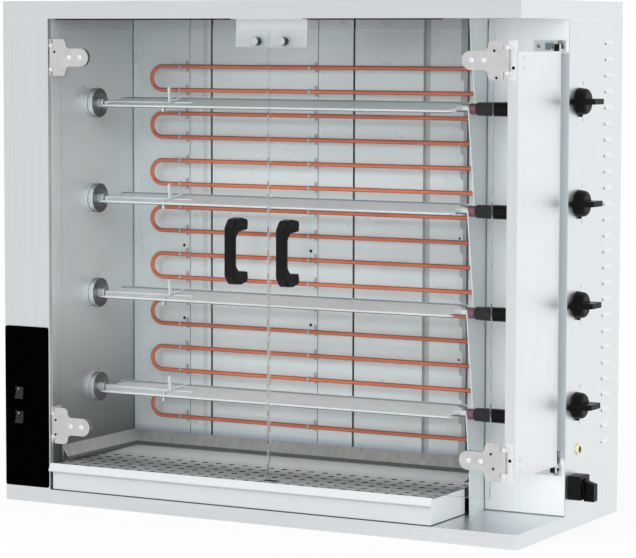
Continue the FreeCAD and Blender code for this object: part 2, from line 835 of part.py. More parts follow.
def spit_blade(index):
    """Double spit: two pointed rods joined by a web, a square drive bar, a neck and a fixed fork."""
    level = spit_levels[index]
    half = blade_width / 2 - rod_diameter / 2
    low = web_rise - web_thickness / 2
    web_x0 = blade_x0 + rod_tip_length / 2
    shoulder = blade_x1 - 2 * blade_taper
    outline = [(web_x0 + blade_taper, -half), (shoulder, -half), (blade_x1, -neck_radius),
               (blade_x1, neck_radius), (shoulder, half), (web_x0 + blade_taper, half),
               (web_x0, half / 2), (web_x0, -half / 2)]
    normal = blade_point(0, 0, web_thickness, level) - blade_point(0, 0, 0, level)
    web = prism([blade_point(x, u, low, level) for x, u in outline], normal)
    bar = square_bar(drive_bar_x0, drive_bar_x0 + drive_bar_length, drive_bar_size, level)
    neck = rod_x(blade_x1 - blade_taper, neck_x1, spit_y, level, neck_radius)
    tang = rod_x(neck_x1, neck_x1 + tang_length, spit_y, level, tang_radius)
    fork_x = column_width + fork_offset + blade_start / 2
    plate = prism([blade_point(fork_x, u, n, level) for u, n in fork_outline], V(fork_thickness, 0, 0))
    foot_u, foot_n = fork_outline[5]
    prong_start = blade_point(fork_x, foot_u - fork_prong_radius, foot_n - fork_prong_radius, level)
    prong_end = prong_start + V(fork_prong_length, 0, fork_prong_rise)
    prong = Part.makeCone(fork_prong_radius, 0.6, (prong_end - prong_start).Length, prong_start,
                          prong_end - prong_start)
    return fuse([web, bar, neck, tang, plate, prong] + edge_rod(-half, level) + edge_rod(half, level))


def spit_bush(index):
    """Copper-coloured bush that turns in the rack's seat."""
    level = spit_levels[index]
    bush = rod_x(bush_x0, neck_x1, spit_y, level, bush_radius)
    bush = round_edges(bush, 0.8, lambda e: e.Curve.TypeId == "Part::GeomCircle")
    return bush.cut(rod_x(bush_x0 - 1.0, neck_x1 + 1.0, spit_y, level, neck_radius + running_clearance))


def spit_handle(index):
    """Black turned grip on the spit's right end."""
    level = spit_levels[index]
    waist_x = neck_x1 + handle_length * 0.3
    points = [V(neck_x1, 0, 0), V(neck_x1, 0, handle_small_radius - handle_collar),
              V(neck_x1 + handle_collar * 0.3, 0, handle_small_radius - handle_collar * 0.3),
              V(neck_x1 + handle_collar, 0, handle_small_radius),
              V(waist_x, 0, handle_large_radius - 0.6), V(handle_x1 - 5.0, 0, handle_large_radius),
              V(handle_x1 - 1.5, 0, handle_large_radius - 1.5), V(handle_x1, 0, handle_large_radius - 5.0),
              V(handle_x1, 0, 0)]
    outline = Part.Face(Part.makePolygon(points + [points[0]]))
    grip = outline.revolve(V(0, 0, 0), V(1, 0, 0), 360)
    grip.translate(V(0, spit_y, level))
    return grip.cut(rod_x(neck_x1 - 1.0, neck_x1 + tang_length + 1.0, spit_y, level,
                          tang_radius + running_clearance))


# Drip tray

def drip_tray():
    """Fat tray: a full-width front part, a narrower back part, and a rolled lip to pull it by."""
    top = tray_bottom_z + tray_height
    front = box(tray_left, tray_right, tray_front_y, tray_step_y, tray_bottom_z, top)
    back = box(tray_left + tray_step_x, tray_right - tray_step_x, tray_step_y - 1.0, tray_back_y,
               tray_bottom_z, top)
    front_in = box(tray_left + tray_wall, tray_right - tray_wall, tray_front_y + tray_wall,
                   tray_step_y - tray_wall, tray_bottom_z + tray_wall, top + 1.0)
    back_in = box(tray_left + tray_step_x + tray_wall, tray_right - tray_step_x - tray_wall,
                  tray_step_y - 3.0, tray_back_y - tray_wall, tray_bottom_z + tray_wall, top + 1.0)
    outside = fuse([front, back])
    outside = round_edges(outside, tray_bottom_radius, lambda e: middle_of(e).z < tray_bottom_z + 0.01)
    inside = fuse([front_in, back_in])
    inside = round_edges(inside, tray_bottom_radius - tray_wall,
                         lambda e: middle_of(e).z < tray_bottom_z + tray_wall + 0.01)
    pan = outside.cut(inside)
    x = tray_left - tray_lip_left_overhang
    fold = V(tray_right + tray_lip_right_overhang - x, 0, 0)
    lip = prism([V(x, tray_front_y + tray_wall, tray_lip_top), V(x, tray_front_y - 2.0, tray_lip_top),
                 V(x, tray_front_y - tray_lip_projection, tray_lip_bottom + 2.0),
                 V(x, tray_front_y - tray_lip_projection + 1.0, tray_lip_bottom),
                 V(x, tray_front_y, tray_lip_bottom - 3.0),
                 V(x, tray_front_y, tray_lip_bottom - 3.0 + tray_lip_wall),
                 V(x, tray_front_y - tray_lip_projection + tray_lip_wall + 1.0,
                   tray_lip_bottom + tray_lip_wall),
                 V(x, tray_front_y - 1.0, tray_lip_top - tray_lip_wall),
                 V(x, tray_front_y + tray_wall, tray_lip_top - tray_lip_wall)], fold)
    ledge = box(tray_left + tray_wall, tray_right - tray_wall, tray_front_y + tray_wall,
                tray_front_y + tray_wall + insert_ledge, insert_z - tray_wall, insert_z)
    return fuse([pan, lip, ledge])


def tray_insert():
    """Perforated insert that lies on the tray's rim, with a finger slot and a plain back part."""
    x0 = tray_left + insert_play
    x1 = tray_right - insert_play
    y0 = tray_front_y + tray_wall + insert_play
    y1 = tray_back_y - insert_play
    top = insert_z + insert_thickness
    front = box(x0, x1, y0, insert_fold_y, insert_z, top)
    back = prism([V(x0, insert_fold_y, insert_z), V(x0, insert_fold_y, top),
                  V(x0, y1, top + insert_rise), V(x0, y1, insert_z + insert_rise)], V(x1 - x0, 0, 0))
    first_x = (x0 + x1 - (hole_columns - 1) * hole_pitch_x) / 2
    holes = []
    for row in range(hole_rows):
        y = first_hole_y + row * hole_pitch_y
        for column in range(hole_columns):
            x = first_x + column * hole_pitch_x
            near_slot = (abs(x - finger_slot_x) < finger_slot_length / 2 + hole_radius
                         and abs(y - finger_slot_y) < finger_slot_width / 2 + hole_radius)
            if not near_slot:
                holes.append(rod_z(insert_z - 1.0, top + 1.0, x, y, hole_radius))
    reach = (finger_slot_length - finger_slot_width) / 2
    half_width = finger_slot_width / 2
    ends = [rod_z(insert_z - 1.0, top + 1.0, finger_slot_x + way * reach, finger_slot_y, half_width)
            for way in (-1, 1)]
    slot = fuse(ends + [box(finger_slot_x - reach, finger_slot_x + reach, finger_slot_y - half_width,
                            finger_slot_y + half_width, insert_z - 1.0, top + 1.0)])
    return fuse([front, back]).cut(Part.makeCompound(holes)).cut(slot)


# Doors

def hinge_side(is_left):
    """Pin place and the direction from the pin towards the glass."""
    return (left_pin_x, 1.0) if is_left else (right_pin_x, -1.0)


def glass_pin_gap(is_left):
    """Distance from the pin to the nearer edge of the glass."""
    return left_glass_pin_gap if is_left else right_glass_pin_gap


def screw_places(is_left):
    """x of the two clamp screws of each hinge arm."""
    pin_x, way = hinge_side(is_left)
    tip = hinge_arm_length - clamp_screw_inset
    return [pin_x + way * tip, pin_x + way * (tip - clamp_screw_spacing)]


def glass_pane(is_left):
    """Toughened glass door with polished edges and holes for the clamp screws."""
    pin_x, way = hinge_side(is_left)
    outer = pin_x + way * glass_pin_gap(is_left)
    inner = glass_meeting_x - way * glass_gap / 2
    x0, x1 = min(outer, inner), max(outer, inner)
    pane = box(x0, x1, glass_front_y, glass_front_y + glass_thickness, glass_bottom_z, glass_top_z)
    pane = round_edges(pane, 4.0, lambda e: along(e, 1))
    pane = pane.makeChamfer(0.6, [e for e in pane.Edges if not along(e, 1) and e.Length > 20.0])
    for x in screw_places(is_left):
        for z in (hinge_top_z, hinge_bottom_z):
            pane = pane.cut(rod_y(0, 30, x, z, clamp_screw_radius + clamp_hole_play))
    for z in handle_screw_levels():
        pane = pane.cut(rod_y(0, 30, handle_x(is_left), z, clamp_screw_radius + clamp_hole_play))
    return pane


def hinge_arm(is_left, z):
    """Moving half of one hinge: a barrel, a wide base and a round-ended arm, clamped on the glass."""
    pin_x, way = hinge_side(is_left)
    base = hinge_base_height / 2
    arm = hinge_arm_height / 2
    low_y = glass_front_y - hinge_plate_thickness

    def at(s, dz):
        return V(pin_x + way * s, low_y, z + dz)

    fillet = 9.0
    corner = hinge_corner_radius
    middle_s = hinge_arm_length - arm
    shift = fillet * (1.0 - math.sqrt(0.5))
    bulge = corner * (1.0 - math.sqrt(0.5))
    lines = [(at(0.0, -barrel_height / 2 + ear_gap), at(0.0, barrel_height / 2 - ear_gap)),
             (at(0.0, barrel_height / 2 - ear_gap), at(hinge_base_start, barrel_height / 2 - ear_gap)),
             (at(hinge_base_start, barrel_height / 2 - ear_gap), at(hinge_base_start, base)),
             (at(hinge_base_start, base), at(hinge_base_width - corner, base))]
    edges = [Part.LineSegment(a, b).toShape() for a, b in lines]
    edges.append(Part.Arc(at(hinge_base_width - corner, base),
                          at(hinge_base_width - bulge, base - bulge),
                          at(hinge_base_width, base - corner)).toShape())
    edges.append(Part.LineSegment(at(hinge_base_width, base - corner),
                                  at(hinge_base_width, arm + fillet)).toShape())
    edges.append(Part.Arc(at(hinge_base_width, arm + fillet),
                          at(hinge_base_width + shift, arm + shift),
                          at(hinge_base_width + fillet, arm)).toShape())
    edges.append(Part.LineSegment(at(hinge_base_width + fillet, arm), at(middle_s, arm)).toShape())
    edges.append(Part.Arc(at(middle_s, arm), at(hinge_arm_length, 0.0), at(middle_s, -arm)).toShape())
    edges.append(Part.LineSegment(at(middle_s, -arm), at(hinge_base_width + fillet, -arm)).toShape())
    edges.append(Part.Arc(at(hinge_base_width + fillet, -arm),
                          at(hinge_base_width + shift, -arm - shift),
                          at(hinge_base_width, -arm - fillet)).toShape())
    edges.append(Part.LineSegment(at(hinge_base_width, -arm - fillet),
                                  at(hinge_base_width, -base + corner)).toShape())
    edges.append(Part.Arc(at(hinge_base_width, -base + corner),
                          at(hinge_base_width - bulge, -base + bulge),
                          at(hinge_base_width - corner, -base)).toShape())
    mirrored = [(at(hinge_base_width - corner, -base), at(hinge_base_start, -base)),
                (at(hinge_base_start, -base), at(hinge_base_start, -barrel_height / 2 + ear_gap)),
                (at(hinge_base_start, -barrel_height / 2 + ear_gap), at(0.0, -barrel_height / 2 + ear_gap))]
    edges += [Part.LineSegment(a, b).toShape() for a, b in mirrored]
    plate = Part.Face(Part.Wire(edges)).extrude(V(0, hinge_plate_thickness, 0))
    back_y = glass_front_y + glass_thickness
    back_s0 = glass_pin_gap(is_left) + 4.0
    xs = sorted([pin_x + way * back_s0, pin_x + way * middle_s])
    back = fuse([box(xs[0], xs[1], back_y, back_y + hinge_plate_thickness, z - arm, z + arm),
                 rod_y(back_y, back_y + hinge_plate_thickness, pin_x + way * middle_s, z, arm)])
    screws = [rod_y(low_y, back_y + hinge_plate_thickness, x, z, clamp_screw_radius)
              for x in screw_places(is_left)]
    barrel = rod_z(z - barrel_height / 2 + ear_gap, z + barrel_height / 2 - ear_gap, pin_x, pin_y,
                   barrel_radius)
    bore = rod_z(z - barrel_height, z + barrel_height, pin_x, pin_y, pin_radius + running_clearance)
    return fuse([plate, back, barrel] + screws).cut(bore)


def hinge_arms(is_left):
    return [hinge_arm(is_left, z) for z in (hinge_top_z, hinge_bottom_z)]


def hinge_leaf(is_left, z):
    """Fixed half of one hinge: a leaf on the wall or post, two ears and the pin between them."""
    pin_x, way = hinge_side(is_left)
    half = barrel_height / 2
    base = hinge_base_height / 2
    ear_radius = barrel_radius + 0.5
    ears = []
    for low in (half, -half - ear_thickness):
        z0 = z + low
        round_end = rod_z(z0, z0 + ear_thickness, pin_x, pin_y, ear_radius)
        if is_left:
            arm = box(column_width, pin_x, pin_y, pin_y + 12.0, z0, z0 + ear_thickness)
        else:
            arm = box(pin_x, pin_x + 8.0, pin_y, post_front_y, z0, z0 + ear_thickness)
        ears += [round_end, arm]
    if is_left:
        leaf = box(column_width, column_width + leaf_thickness, pin_y + 4.0, pin_y + leaf_reach,
                   z - base, z + base)
    else:
        leaf = box(post_inner_x + 1.5, post_outer_x - 2.5, post_front_y - leaf_thickness, post_front_y,
                   z - base, z + base)
    pin = rod_z(z - half - ear_thickness - 2.0, z + half + ear_thickness + 2.0, pin_x, pin_y, pin_radius)
    return fuse([leaf, pin] + ears)


def hinge_leaves(is_left):
    return [hinge_leaf(is_left, z) for z in (hinge_top_z, hinge_bottom_z)]


def handle_x(is_left):
    way = -1.0 if is_left else 1.0
    return glass_meeting_x + way * (glass_gap / 2 + door_handle_inset)


def handle_screw_levels():
    offset = door_handle_height / 2 - door_handle_foot / 2 - 3.0
    return [door_handle_middle_z - offset, door_handle_middle_z + offset]


def door_handle(is_left):
    """Bridge handle of black plastic with a screw through the glass at each foot."""
    x0 = handle_x(is_left) - door_handle_width / 2
    top = door_handle_height / 2
    face = glass_front_y
    reach = door_handle_reach
    grip = reach - door_handle_grip
    half_outline = [(0.0, top - 4.0), (20.0, top), (reach - 13.0, top - 2.0), (reach, top - 18.0)]
    inner = [(grip, top - 37.0), (grip - 10.0, top - 27.0), (0.0, top - 4.0 - door_handle_foot)]
    points = half_outline + [(a, -b) for a, b in reversed(half_outline)]
    points += [(a, -b) for a, b in reversed(inner)] + inner
    outline = [V(x0, face - a, door_handle_middle_z + b) for a, b in points]
    body = prism(outline, V(door_handle_width, 0, 0))
    body = round_edges(body, door_handle_bend, lambda e: along(e, 0) and middle_of(e).y < face - 1.0)
    body = round_edges(body, 3.0, lambda e: abs(middle_of(e).y - face) > 0.5 and not along(e, 0)
                       and abs(abs(middle_of(e).x - handle_x(is_left)) - door_handle_width / 2) < 0.01)
    screws = [rod_y(face - 6.0, face + glass_thickness + 3.0, handle_x(is_left), z, clamp_screw_radius)
              for z in handle_screw_levels()]
    heads = [rod_y(face + glass_thickness, face + glass_thickness + 3.0, handle_x(is_left), z,
                   clamp_screw_radius + 4.0) for z in handle_screw_levels()]
    return fuse([body] + screws + heads)


def door_post():
    """Folded post that carries the right door: front flange, deep side, rear flange and two caps."""
    front = box(post_inner_x, post_outer_x, post_front_y, post_front_y + sheet, post_bottom_z, post_top_z)
    lip = box(post_inner_x, post_inner_x + sheet, post_front_y, post_front_y + post_lip,
              post_bottom_z, post_top_z)
    side = box(post_outer_x - sheet, post_outer_x, post_front_y, post_rear_y, post_bottom_z, post_top_z)
    rear = box(post_inner_x, post_outer_x, post_rear_y - sheet, post_rear_y, post_bottom_z, post_top_z)
    cap_back = pivot_y + post_cap_inset
    caps = []
    for z0 in (post_bottom_z, post_top_z - 2 * sheet):
        plate = box(post_inner_x + sheet, post_outer_x - sheet, post_front_y, pivot_y, z0, z0 + 2 * sheet)
        nose = rod_z(z0, z0 + 2 * sheet, pivot_x, pivot_y, min(post_outer_x - pivot_x, cap_back - pivot_y))
        caps += [plate, nose]
    shell = fuse([front, lip, side, rear])

    def outer_corner(e):
        point = middle_of(e)
        return along(e, 2) and point.x > post_outer_x - 0.01

    shell = round_edges(shell, sheet, outer_corner)
    relief_length = pivot_depth + 2.0
    for z0 in (post_bottom_z, post_top_z - relief_length):
        shell = shell.cut(rod_z(z0 - 1.0, z0 + relief_length + 1.0, pivot_x, pivot_y, pivot_radius + 2.0))
    bore = rod_z(post_bottom_z - 1.0, post_top_z + 1.0, pivot_x, pivot_y, pivot_radius + running_clearance)
    return fuse([shell] + [cap.cut(bore) for cap in caps])


def post_pivots():
    """Fixed brackets above and below the post, each with a pin that the post turns on."""
    pieces = []
    for is_top in (True, False):
        if is_top:
            z0 = post_top_z + pivot_ear_gap
            pin_z0 = post_top_z - pivot_depth
            plate_z0 = z0
            head_z0 = z0 + pivot_ear_thickness
        else:
            z0 = post_bottom_z - pivot_ear_gap - pivot_ear_thickness
            pin_z0 = z0
            plate_z0 = z0 + pivot_ear_thickness - pivot_plate_height
            head_z0 = z0 - pivot_head_height
        ear = box(pivot_x - 12.0, pivot_x + 8.0, pivot_y - 6.0, bay_depth, z0, z0 + pivot_ear_thickness)
        round_end = rod_z(z0, z0 + pivot_ear_thickness, pivot_x, pivot_y, 8.0)
        pin = rod_z(pin_z0, pin_z0 + pivot_depth + pivot_ear_gap + pivot_ear_thickness, pivot_x, pivot_y,
                    pivot_radius)
        head = rod_z(head_z0, head_z0 + pivot_head_height, pivot_x, pivot_y, pivot_head_radius)
        plate = box(pivot_x + 12.0 - pivot_plate_width, pivot_x + 12.0, bay_depth - 3.0, bay_depth,
                    plate_z0, plate_z0 + pivot_plate_height)
        pieces.append([ear, round_end, pin, head, plate])
    tab_x1 = pivot_x + 10.0
    tab_z0 = post_bottom_z - pivot_ear_gap - 1.0
    pieces[1].append(box(tab_x1 - pivot_tab_width, tab_x1, bay_depth - pivot_tab_depth, bay_depth,
                         tab_z0, tab_z0 + pivot_tab_height))
    return [fuse(piece) for piece in pieces]


def catch_bracket():
    """Angle plate under the hood that carries the two door magnets."""
    low = hood_bottom_z - catch_drop
    flange = box(catch_left, catch_left + catch_width, catch_y + sheet - catch_flange, catch_y + sheet,
                 hood_bottom_z - sheet, hood_bottom_z)
    drop = box(catch_left, catch_left + catch_width, catch_y, catch_y + sheet, low, hood_bottom_z)
    bracket = fuse([flange, drop])
    bracket = round_edges(bracket, 3.0, lambda e: along(e, 1) and middle_of(e).z < low + 0.01)
    for x in magnet_places():
        bracket = bracket.cut(rod_y(catch_y - 5.0, catch_y + 5.0, x, low + magnet_rise,
                                    magnet_stud_radius + fixed_clearance))
    return bracket


def magnet_places():
    centre = glass_meeting_x - magnet_middle_shift
    return [centre - magnet_offset, centre + magnet_offset]


def catch_magnets():
    """Round pot magnets, one behind the free upper corner of each door, with a stud and nut."""
    low = hood_bottom_z - catch_drop + magnet_rise
    front = glass_front_y + glass_thickness + magnet_gap
    pieces = []
    for x in magnet_places():
        pot = rod_y(front, catch_y, x, low, magnet_radius)
        pot = round_edges(pot, 1.0, lambda e: middle_of(e).y < front + 0.01)
        stud = rod_y(catch_y, catch_y + sheet + 7.0, x, low, magnet_stud_radius)
        nut = rod_y(catch_y + sheet, catch_y + sheet + 4.0, x, low, 6.0)
        pieces.append(fuse([pot, stud, nut]))
    return pieces


# Controls

def rocker_window(level, y0, y1, grow):
    """Window that a rocker stands in, grown by the given amount on each side."""
    half_x = rocker_width / 2 + rocker_play + grow
    half_z = rocker_height / 2 + rocker_play + grow
    return box(rocker_x - half_x, rocker_x + half_x, y0, y1, level - half_z, level + half_z)


def control_fascia():
    """Black moulded fascia on the drive column, with a bezel and housing for each rocker."""
    low = base_height + fascia_bottom_gap
    plate = box(fascia_inset, column_width - fascia_inset, -fascia_thickness, 0, low, low + fascia_height)
    plate = round_edges(plate, fascia_corner, lambda e: along(e, 1))
    plate = round_edges(plate, 1.0, lambda e: abs(middle_of(e).y + fascia_thickness) < 0.01)
    pieces = [plate]
    for level in (rocker_upper_z, rocker_lower_z):
        bezel = box(rocker_x - bezel_width / 2, rocker_x + bezel_width / 2,
                    -fascia_thickness - bezel_thickness, -fascia_thickness,
                    level - bezel_height / 2, level + bezel_height / 2)
        bezel = round_edges(bezel, 1.2, lambda e: middle_of(e).y < -fascia_thickness - bezel_thickness + 0.01)
        pieces += [bezel, rocker_window(level, 0.0, rocker_housing_depth, rocker_housing_wall)]
    fascia = fuse(pieces)
    for level in (rocker_upper_z, rocker_lower_z):
        fascia = fascia.cut(rocker_window(level, -20.0, rocker_housing_depth - rocker_housing_wall, 0.0))
        pivot = rod_x(rocker_x - rocker_width / 2 - 1.5, rocker_x + rocker_width / 2 + 1.5, rocker_depth / 2,
                      level, 1.5 + running_clearance)
        fascia = fascia.cut(pivot)
    return fascia


def rocker(level):
    """Rocker button: a dished face and a body that tilts on two short trunnions; drawn switched off."""
    front = -fascia_thickness - bezel_thickness
    half = rocker_height / 2 - 1.4
    lower = V(0, front - 2.2, level - half)
    centre = V(0, front + 0.6, level)
    upper = V(0, front - 2.2, level + half)
    corners = [upper, V(0, front + 5.0, level + half), V(0, rocker_depth, level + 5.0),
               V(0, rocker_depth, level - 5.0), V(0, front + 5.0, level - half), lower]
    edges = [Part.Arc(lower, centre, upper).toShape()]
    edges += [Part.LineSegment(a, b).toShape() for a, b in zip(corners, corners[1:])]
    body = Part.Face(Part.Wire(edges)).extrude(V(rocker_width, 0, 0))
    body.translate(V(rocker_x - rocker_width / 2, 0, 0))
    trunnion = rod_x(rocker_x - rocker_width / 2 - 1.2, rocker_x + rocker_width / 2 + 1.2, rocker_depth / 2,
                     level, 1.5)
    whole = fuse([body, trunnion])
    whole.rotate(V(rocker_x, rocker_depth / 2, level), V(1, 0, 0), -rocker_tilt)
    return whole


def knob(index):
    """Control knob: domed skirt with a tab below, grip bar with a pointer nose, and the shaft it turns."""
    level = spit_levels[index] + knob_rise
    x0 = cabinet_width + knob_panel_gap
    skirt = Part.makeCone(knob_radius, knob_radius - knob_skirt_taper, knob_skirt_height,
                          V(x0, knob_y, level), V(1, 0, 0))
    skirt = round_edges(skirt, knob_dome_radius, lambda e: middle_of(e).x > x0 + knob_skirt_height - 0.01)
    tab = rod_x(x0, x0 + knob_tab_height, knob_y, level - knob_radius, knob_tab_radius)
    half = knob_grip_thickness / 2
    side = [V(x0 + knob_nose_low, knob_y - knob_radius - knob_nose, level - half),
            V(x0 + knob_nose_high, knob_y - knob_radius - knob_nose, level - half),
            V(x0 + knob_grip_height, knob_y - knob_radius + 6.0, level - half),
            V(x0 + knob_grip_height, knob_y + knob_radius - 2.0, level - half),
            V(x0 + knob_skirt_height - knob_dome_radius, knob_y + knob_radius - 2.0, level - half),
            V(x0 + 2.0, knob_y + knob_radius - 3.0, level - half)]
    grip = prism(side, V(0, 0, knob_grip_thickness))
    grip = round_edges(grip, 2.0, lambda e: along(e, 2) and middle_of(e).x > x0 + knob_nose_low + 1.0)
    shaft = rod_x(x0 - knob_shaft_depth, x0 + 2.0, knob_y, level, knob_shaft_radius)
    return fuse([skirt, tab, grip, shaft])


def main_switch_case():
    """Black case of the main switch, screwed on the side panel."""
    face = cabinet_width + main_case_reach
    case = box(cabinet_width, face, main_switch_y - main_case_width / 2, main_switch_y + main_case_width / 2,
               main_switch_z - main_case_height / 2, main_switch_z + main_case_height / 2)
    case = round_edges(case, 4.0, lambda e: along(e, 0))
    case = round_edges(case, 1.5, lambda e: middle_of(e).x > face - 0.01)
    bore = rod_x(cabinet_width - 1.0, face + 1.0, main_switch_y, main_switch_z,
                 knob_shaft_radius + knob_hole_play)
    return case.cut(bore)


def main_switch_knob():
    """Dial and thick lever of the main switch, on its shaft."""
    x0 = cabinet_width + main_case_reach + knob_panel_gap
    face = cabinet_width + main_lever_reach
    dial = rod_x(x0, x0 + main_dial_height, main_switch_y, main_switch_z, main_dial_radius)
    root = x0 + 1.0
    near_y = main_switch_y - main_lever_width / 2
    lever = prism([V(root, near_y, main_switch_z - main_lever_below),
                   V(face, near_y, main_switch_z - main_lever_below),
                   V(face, near_y, main_switch_z + main_lever_above),
                   V(root, near_y, main_switch_z + main_lever_above + main_lever_slope)],
                  V(0, main_lever_width, 0))
    lever = round_edges(lever, 4.0, lambda e: root + 1.0 < middle_of(e).x < face - 1.0)
    lever = round_edges(lever, 2.0, lambda e: middle_of(e).x > face - 0.01)
    shaft = rod_x(cabinet_width - knob_shaft_depth, x0 + 2.0, main_switch_y, main_switch_z, knob_shaft_radius)
    return fuse([dial, lever, shaft])


def switch_bodies():
    """Four energy regulators and the main switch behind the side panel, and the main switch's case."""
    pieces = [main_switch_case()]
    places = [(knob_y, level + knob_rise) for level in spit_levels] + [(main_switch_y, main_switch_z)]
    outer = cabinet_width - sheet
    for y, z in places:
        case = box(outer - regulator_depth, outer, y - regulator_size_y / 2, y + regulator_size_y / 2,
                   z - regulator_size_z / 2, z + regulator_size_z / 2)
        case = round_edges(case, 2.0, lambda e: along(e, 0))
        bore = rod_x(outer - regulator_depth + 4.0, outer + 1.0, y, z, knob_shaft_radius + running_clearance)
        pieces.append(case.cut(bore))
    return pieces


def pilot_lamp():
    """Amber pilot lamp with a ring bezel, lens and body through the side panel."""
    ring = rod_x(cabinet_width, cabinet_width + lamp_bezel_height, lamp_y, lamp_z, lamp_radius)
    ring = round_edges(ring, 1.5, lambda e: middle_of(e).x > cabinet_width + lamp_bezel_height - 0.01)
    dome_radius = lamp_lens_radius * 1.25
    dome_x = cabinet_width + lamp_lens_height - dome_radius
    lens = Part.makeSphere(dome_radius, V(dome_x, lamp_y, lamp_z))
    lens = lens.common(rod_x(cabinet_width + 1.0, cabinet_width + 20.0, lamp_y, lamp_z, lamp_lens_radius))
    body = rod_x(cabinet_width - lamp_body_depth, cabinet_width, lamp_y, lamp_z, lamp_body_radius)
    return fuse([ring, lens, body])


def build():
    save("base_pan", base_pan())
    save("left_casing", left_casing())
    save("left_cavity_wall", left_cavity_wall())
    save("hood", hood())
    save("cavity_ceiling", cavity_ceiling())
    save("back_reflectors", back_reflectors())
    save("rear_cover", rear_cover())
    save("right_side_panel", right_side_panel())
    save("right_front_panel", right_front_panel())
    save("spit_rack_plate", spit_rack_plate())
    save("grease_skirts", grease_skirts())
    save("element_supports", element_supports())
    save("element_terminals", element_terminals())
    save("control_fascia", control_fascia())
    save("gear_motors", gear_motors())
    save("socket_bearings", socket_bearings())
    save("switch_bodies", switch_bodies())
    save("pilot_lamp", pilot_lamp())
    save("catch_bracket", catch_bracket())
    save("catch_magnets", catch_magnets())
    save("cable_gland", cable_gland())
    save("rocker_upper", rocker(rocker_upper_z))
    save("rocker_lower", rocker(rocker_lower_z))
    save("main_switch_knob", main_switch_knob())
    save("left_glass", glass_pane(True))
    save("right_glass", glass_pane(False))
    save("left_hinge_arms", hinge_arms(True))
    save("right_hinge_arms", hinge_arms(False))
    save("left_hinge_leaves", hinge_leaves(True))
    save("right_hinge_leaves", hinge_leaves(False))
    save("left_door_handle", door_handle(True))
    save("right_door_handle", door_handle(False))
    save("door_post", door_post())
    save("post_pivots", post_pivots())
    save("drip_tray", drip_tray())
    save("tray_insert", tray_insert())
    for index in range(spit_count):
        number = index + 1
        save(f"heating_element_{number}", heating_element(index))
        save(f"drive_socket_{number}", drive_socket(index))
        save(f"spit_blade_{number}", spit_blade(index))
        save(f"spit_bush_{number}", spit_bush(index))
        save(f"spit_handle_{number}", spit_handle(index))
        save(f"knob_{number}", knob(index))


build()
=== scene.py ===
"""Looks of the chicken rotisserie: finishes for the CAD pieces, the small fittings that the CAD leaves
out, and a plain studio with the camera at the photograph's angle.

The file is laid out as an add-on and is run as a script. Lengths are in metres, in the CAD's frame.
"""
import math

import bmesh
import bpy
from bpy.props import FloatProperty, FloatVectorProperty, PointerProperty
from mathutils import Matrix, Vector


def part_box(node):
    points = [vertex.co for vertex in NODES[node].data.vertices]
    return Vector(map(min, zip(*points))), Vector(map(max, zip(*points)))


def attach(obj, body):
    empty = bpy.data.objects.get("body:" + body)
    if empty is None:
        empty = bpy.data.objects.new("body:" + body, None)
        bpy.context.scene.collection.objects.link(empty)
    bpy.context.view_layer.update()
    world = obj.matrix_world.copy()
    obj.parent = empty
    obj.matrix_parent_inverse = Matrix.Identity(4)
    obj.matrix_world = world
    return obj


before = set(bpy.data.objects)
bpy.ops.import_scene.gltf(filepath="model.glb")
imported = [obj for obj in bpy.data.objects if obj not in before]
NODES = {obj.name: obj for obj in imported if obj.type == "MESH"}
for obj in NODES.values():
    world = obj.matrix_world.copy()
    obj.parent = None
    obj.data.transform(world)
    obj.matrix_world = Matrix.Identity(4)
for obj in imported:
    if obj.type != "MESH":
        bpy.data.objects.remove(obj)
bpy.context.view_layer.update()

bl_info = {
    "name": "Chicken Rotisserie",
    "version": (1, 0, 0),
    "blender": (4, 5, 0),
    "location": "3D View > Sidebar > Rotisserie",
    "description": "Dresses the CAD model of a four-spit rotisserie and sets up its studio",
    "category": "Object",
}

MM = 0.001
SHEET = 1.5 * MM
# The front left bottom corner of the cabinet: places below are measured from it in millimetres,
# x to the right, y to the back and z up.
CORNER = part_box("base_pan")[0].copy()
SPIT_NUMBERS = (1, 2, 3, 4)

# Each lamp panel's name, place in metres, side in metres and power in watts
PANELS = (
    ("key_panel", (-1.8, -4.6, 2.6), 4.2, 175.0),
    ("fill_panel", (3.6, -3.4, 1.8), 3.6, 150.0),
    ("top_panel", (0.3, -0.6, 4.2), 2.6, 60.0),
)
AIM = Vector((0.0, 0.0, 0.5))
# Steel mirrors a room that is brightest towards this side, and this bright at its ends
BRIGHT_SIDE = (0.48, 0.877, 0.0)
ROOM_LEVELS = (0.81, 1.0)
# Camera: millimetres from the cabinet's corner; yaw, downward pitch and roll in degrees
CAMERA_PLACE = (3171.8, -4477.6, 928.7)
CAMERA_TURN = (28.74, 5.047, 0.151)


def place(x, y, z):
    """A point given in millimetres from the cabinet's front left bottom corner."""
    return CORNER + Vector((x, y, z)) * MM


def middle(node):
    low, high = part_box(node)
    return (low + high) / 2


def linear(code):
    """Linear colour from an sRGB hex code such as #CDD2D5."""
    parts = [int(code[i:i + 2], 16) / 255 for i in (1, 3, 5)]
    return [p / 12.92 if p <= 0.04045 else ((p + 0.055) / 1.055) ** 2.4 for p in parts]


def length_property(name, description, millimetres):
    return FloatProperty(name=name, description=description, default=millimetres * MM, min=0.0,
                         unit="LENGTH", subtype="DISTANCE")


def colour_property(name, description, code):
    return FloatVectorProperty(name=name, description=description, default=linear(code), size=3,
                               min=0.0, max=1.0, subtype="COLOR")


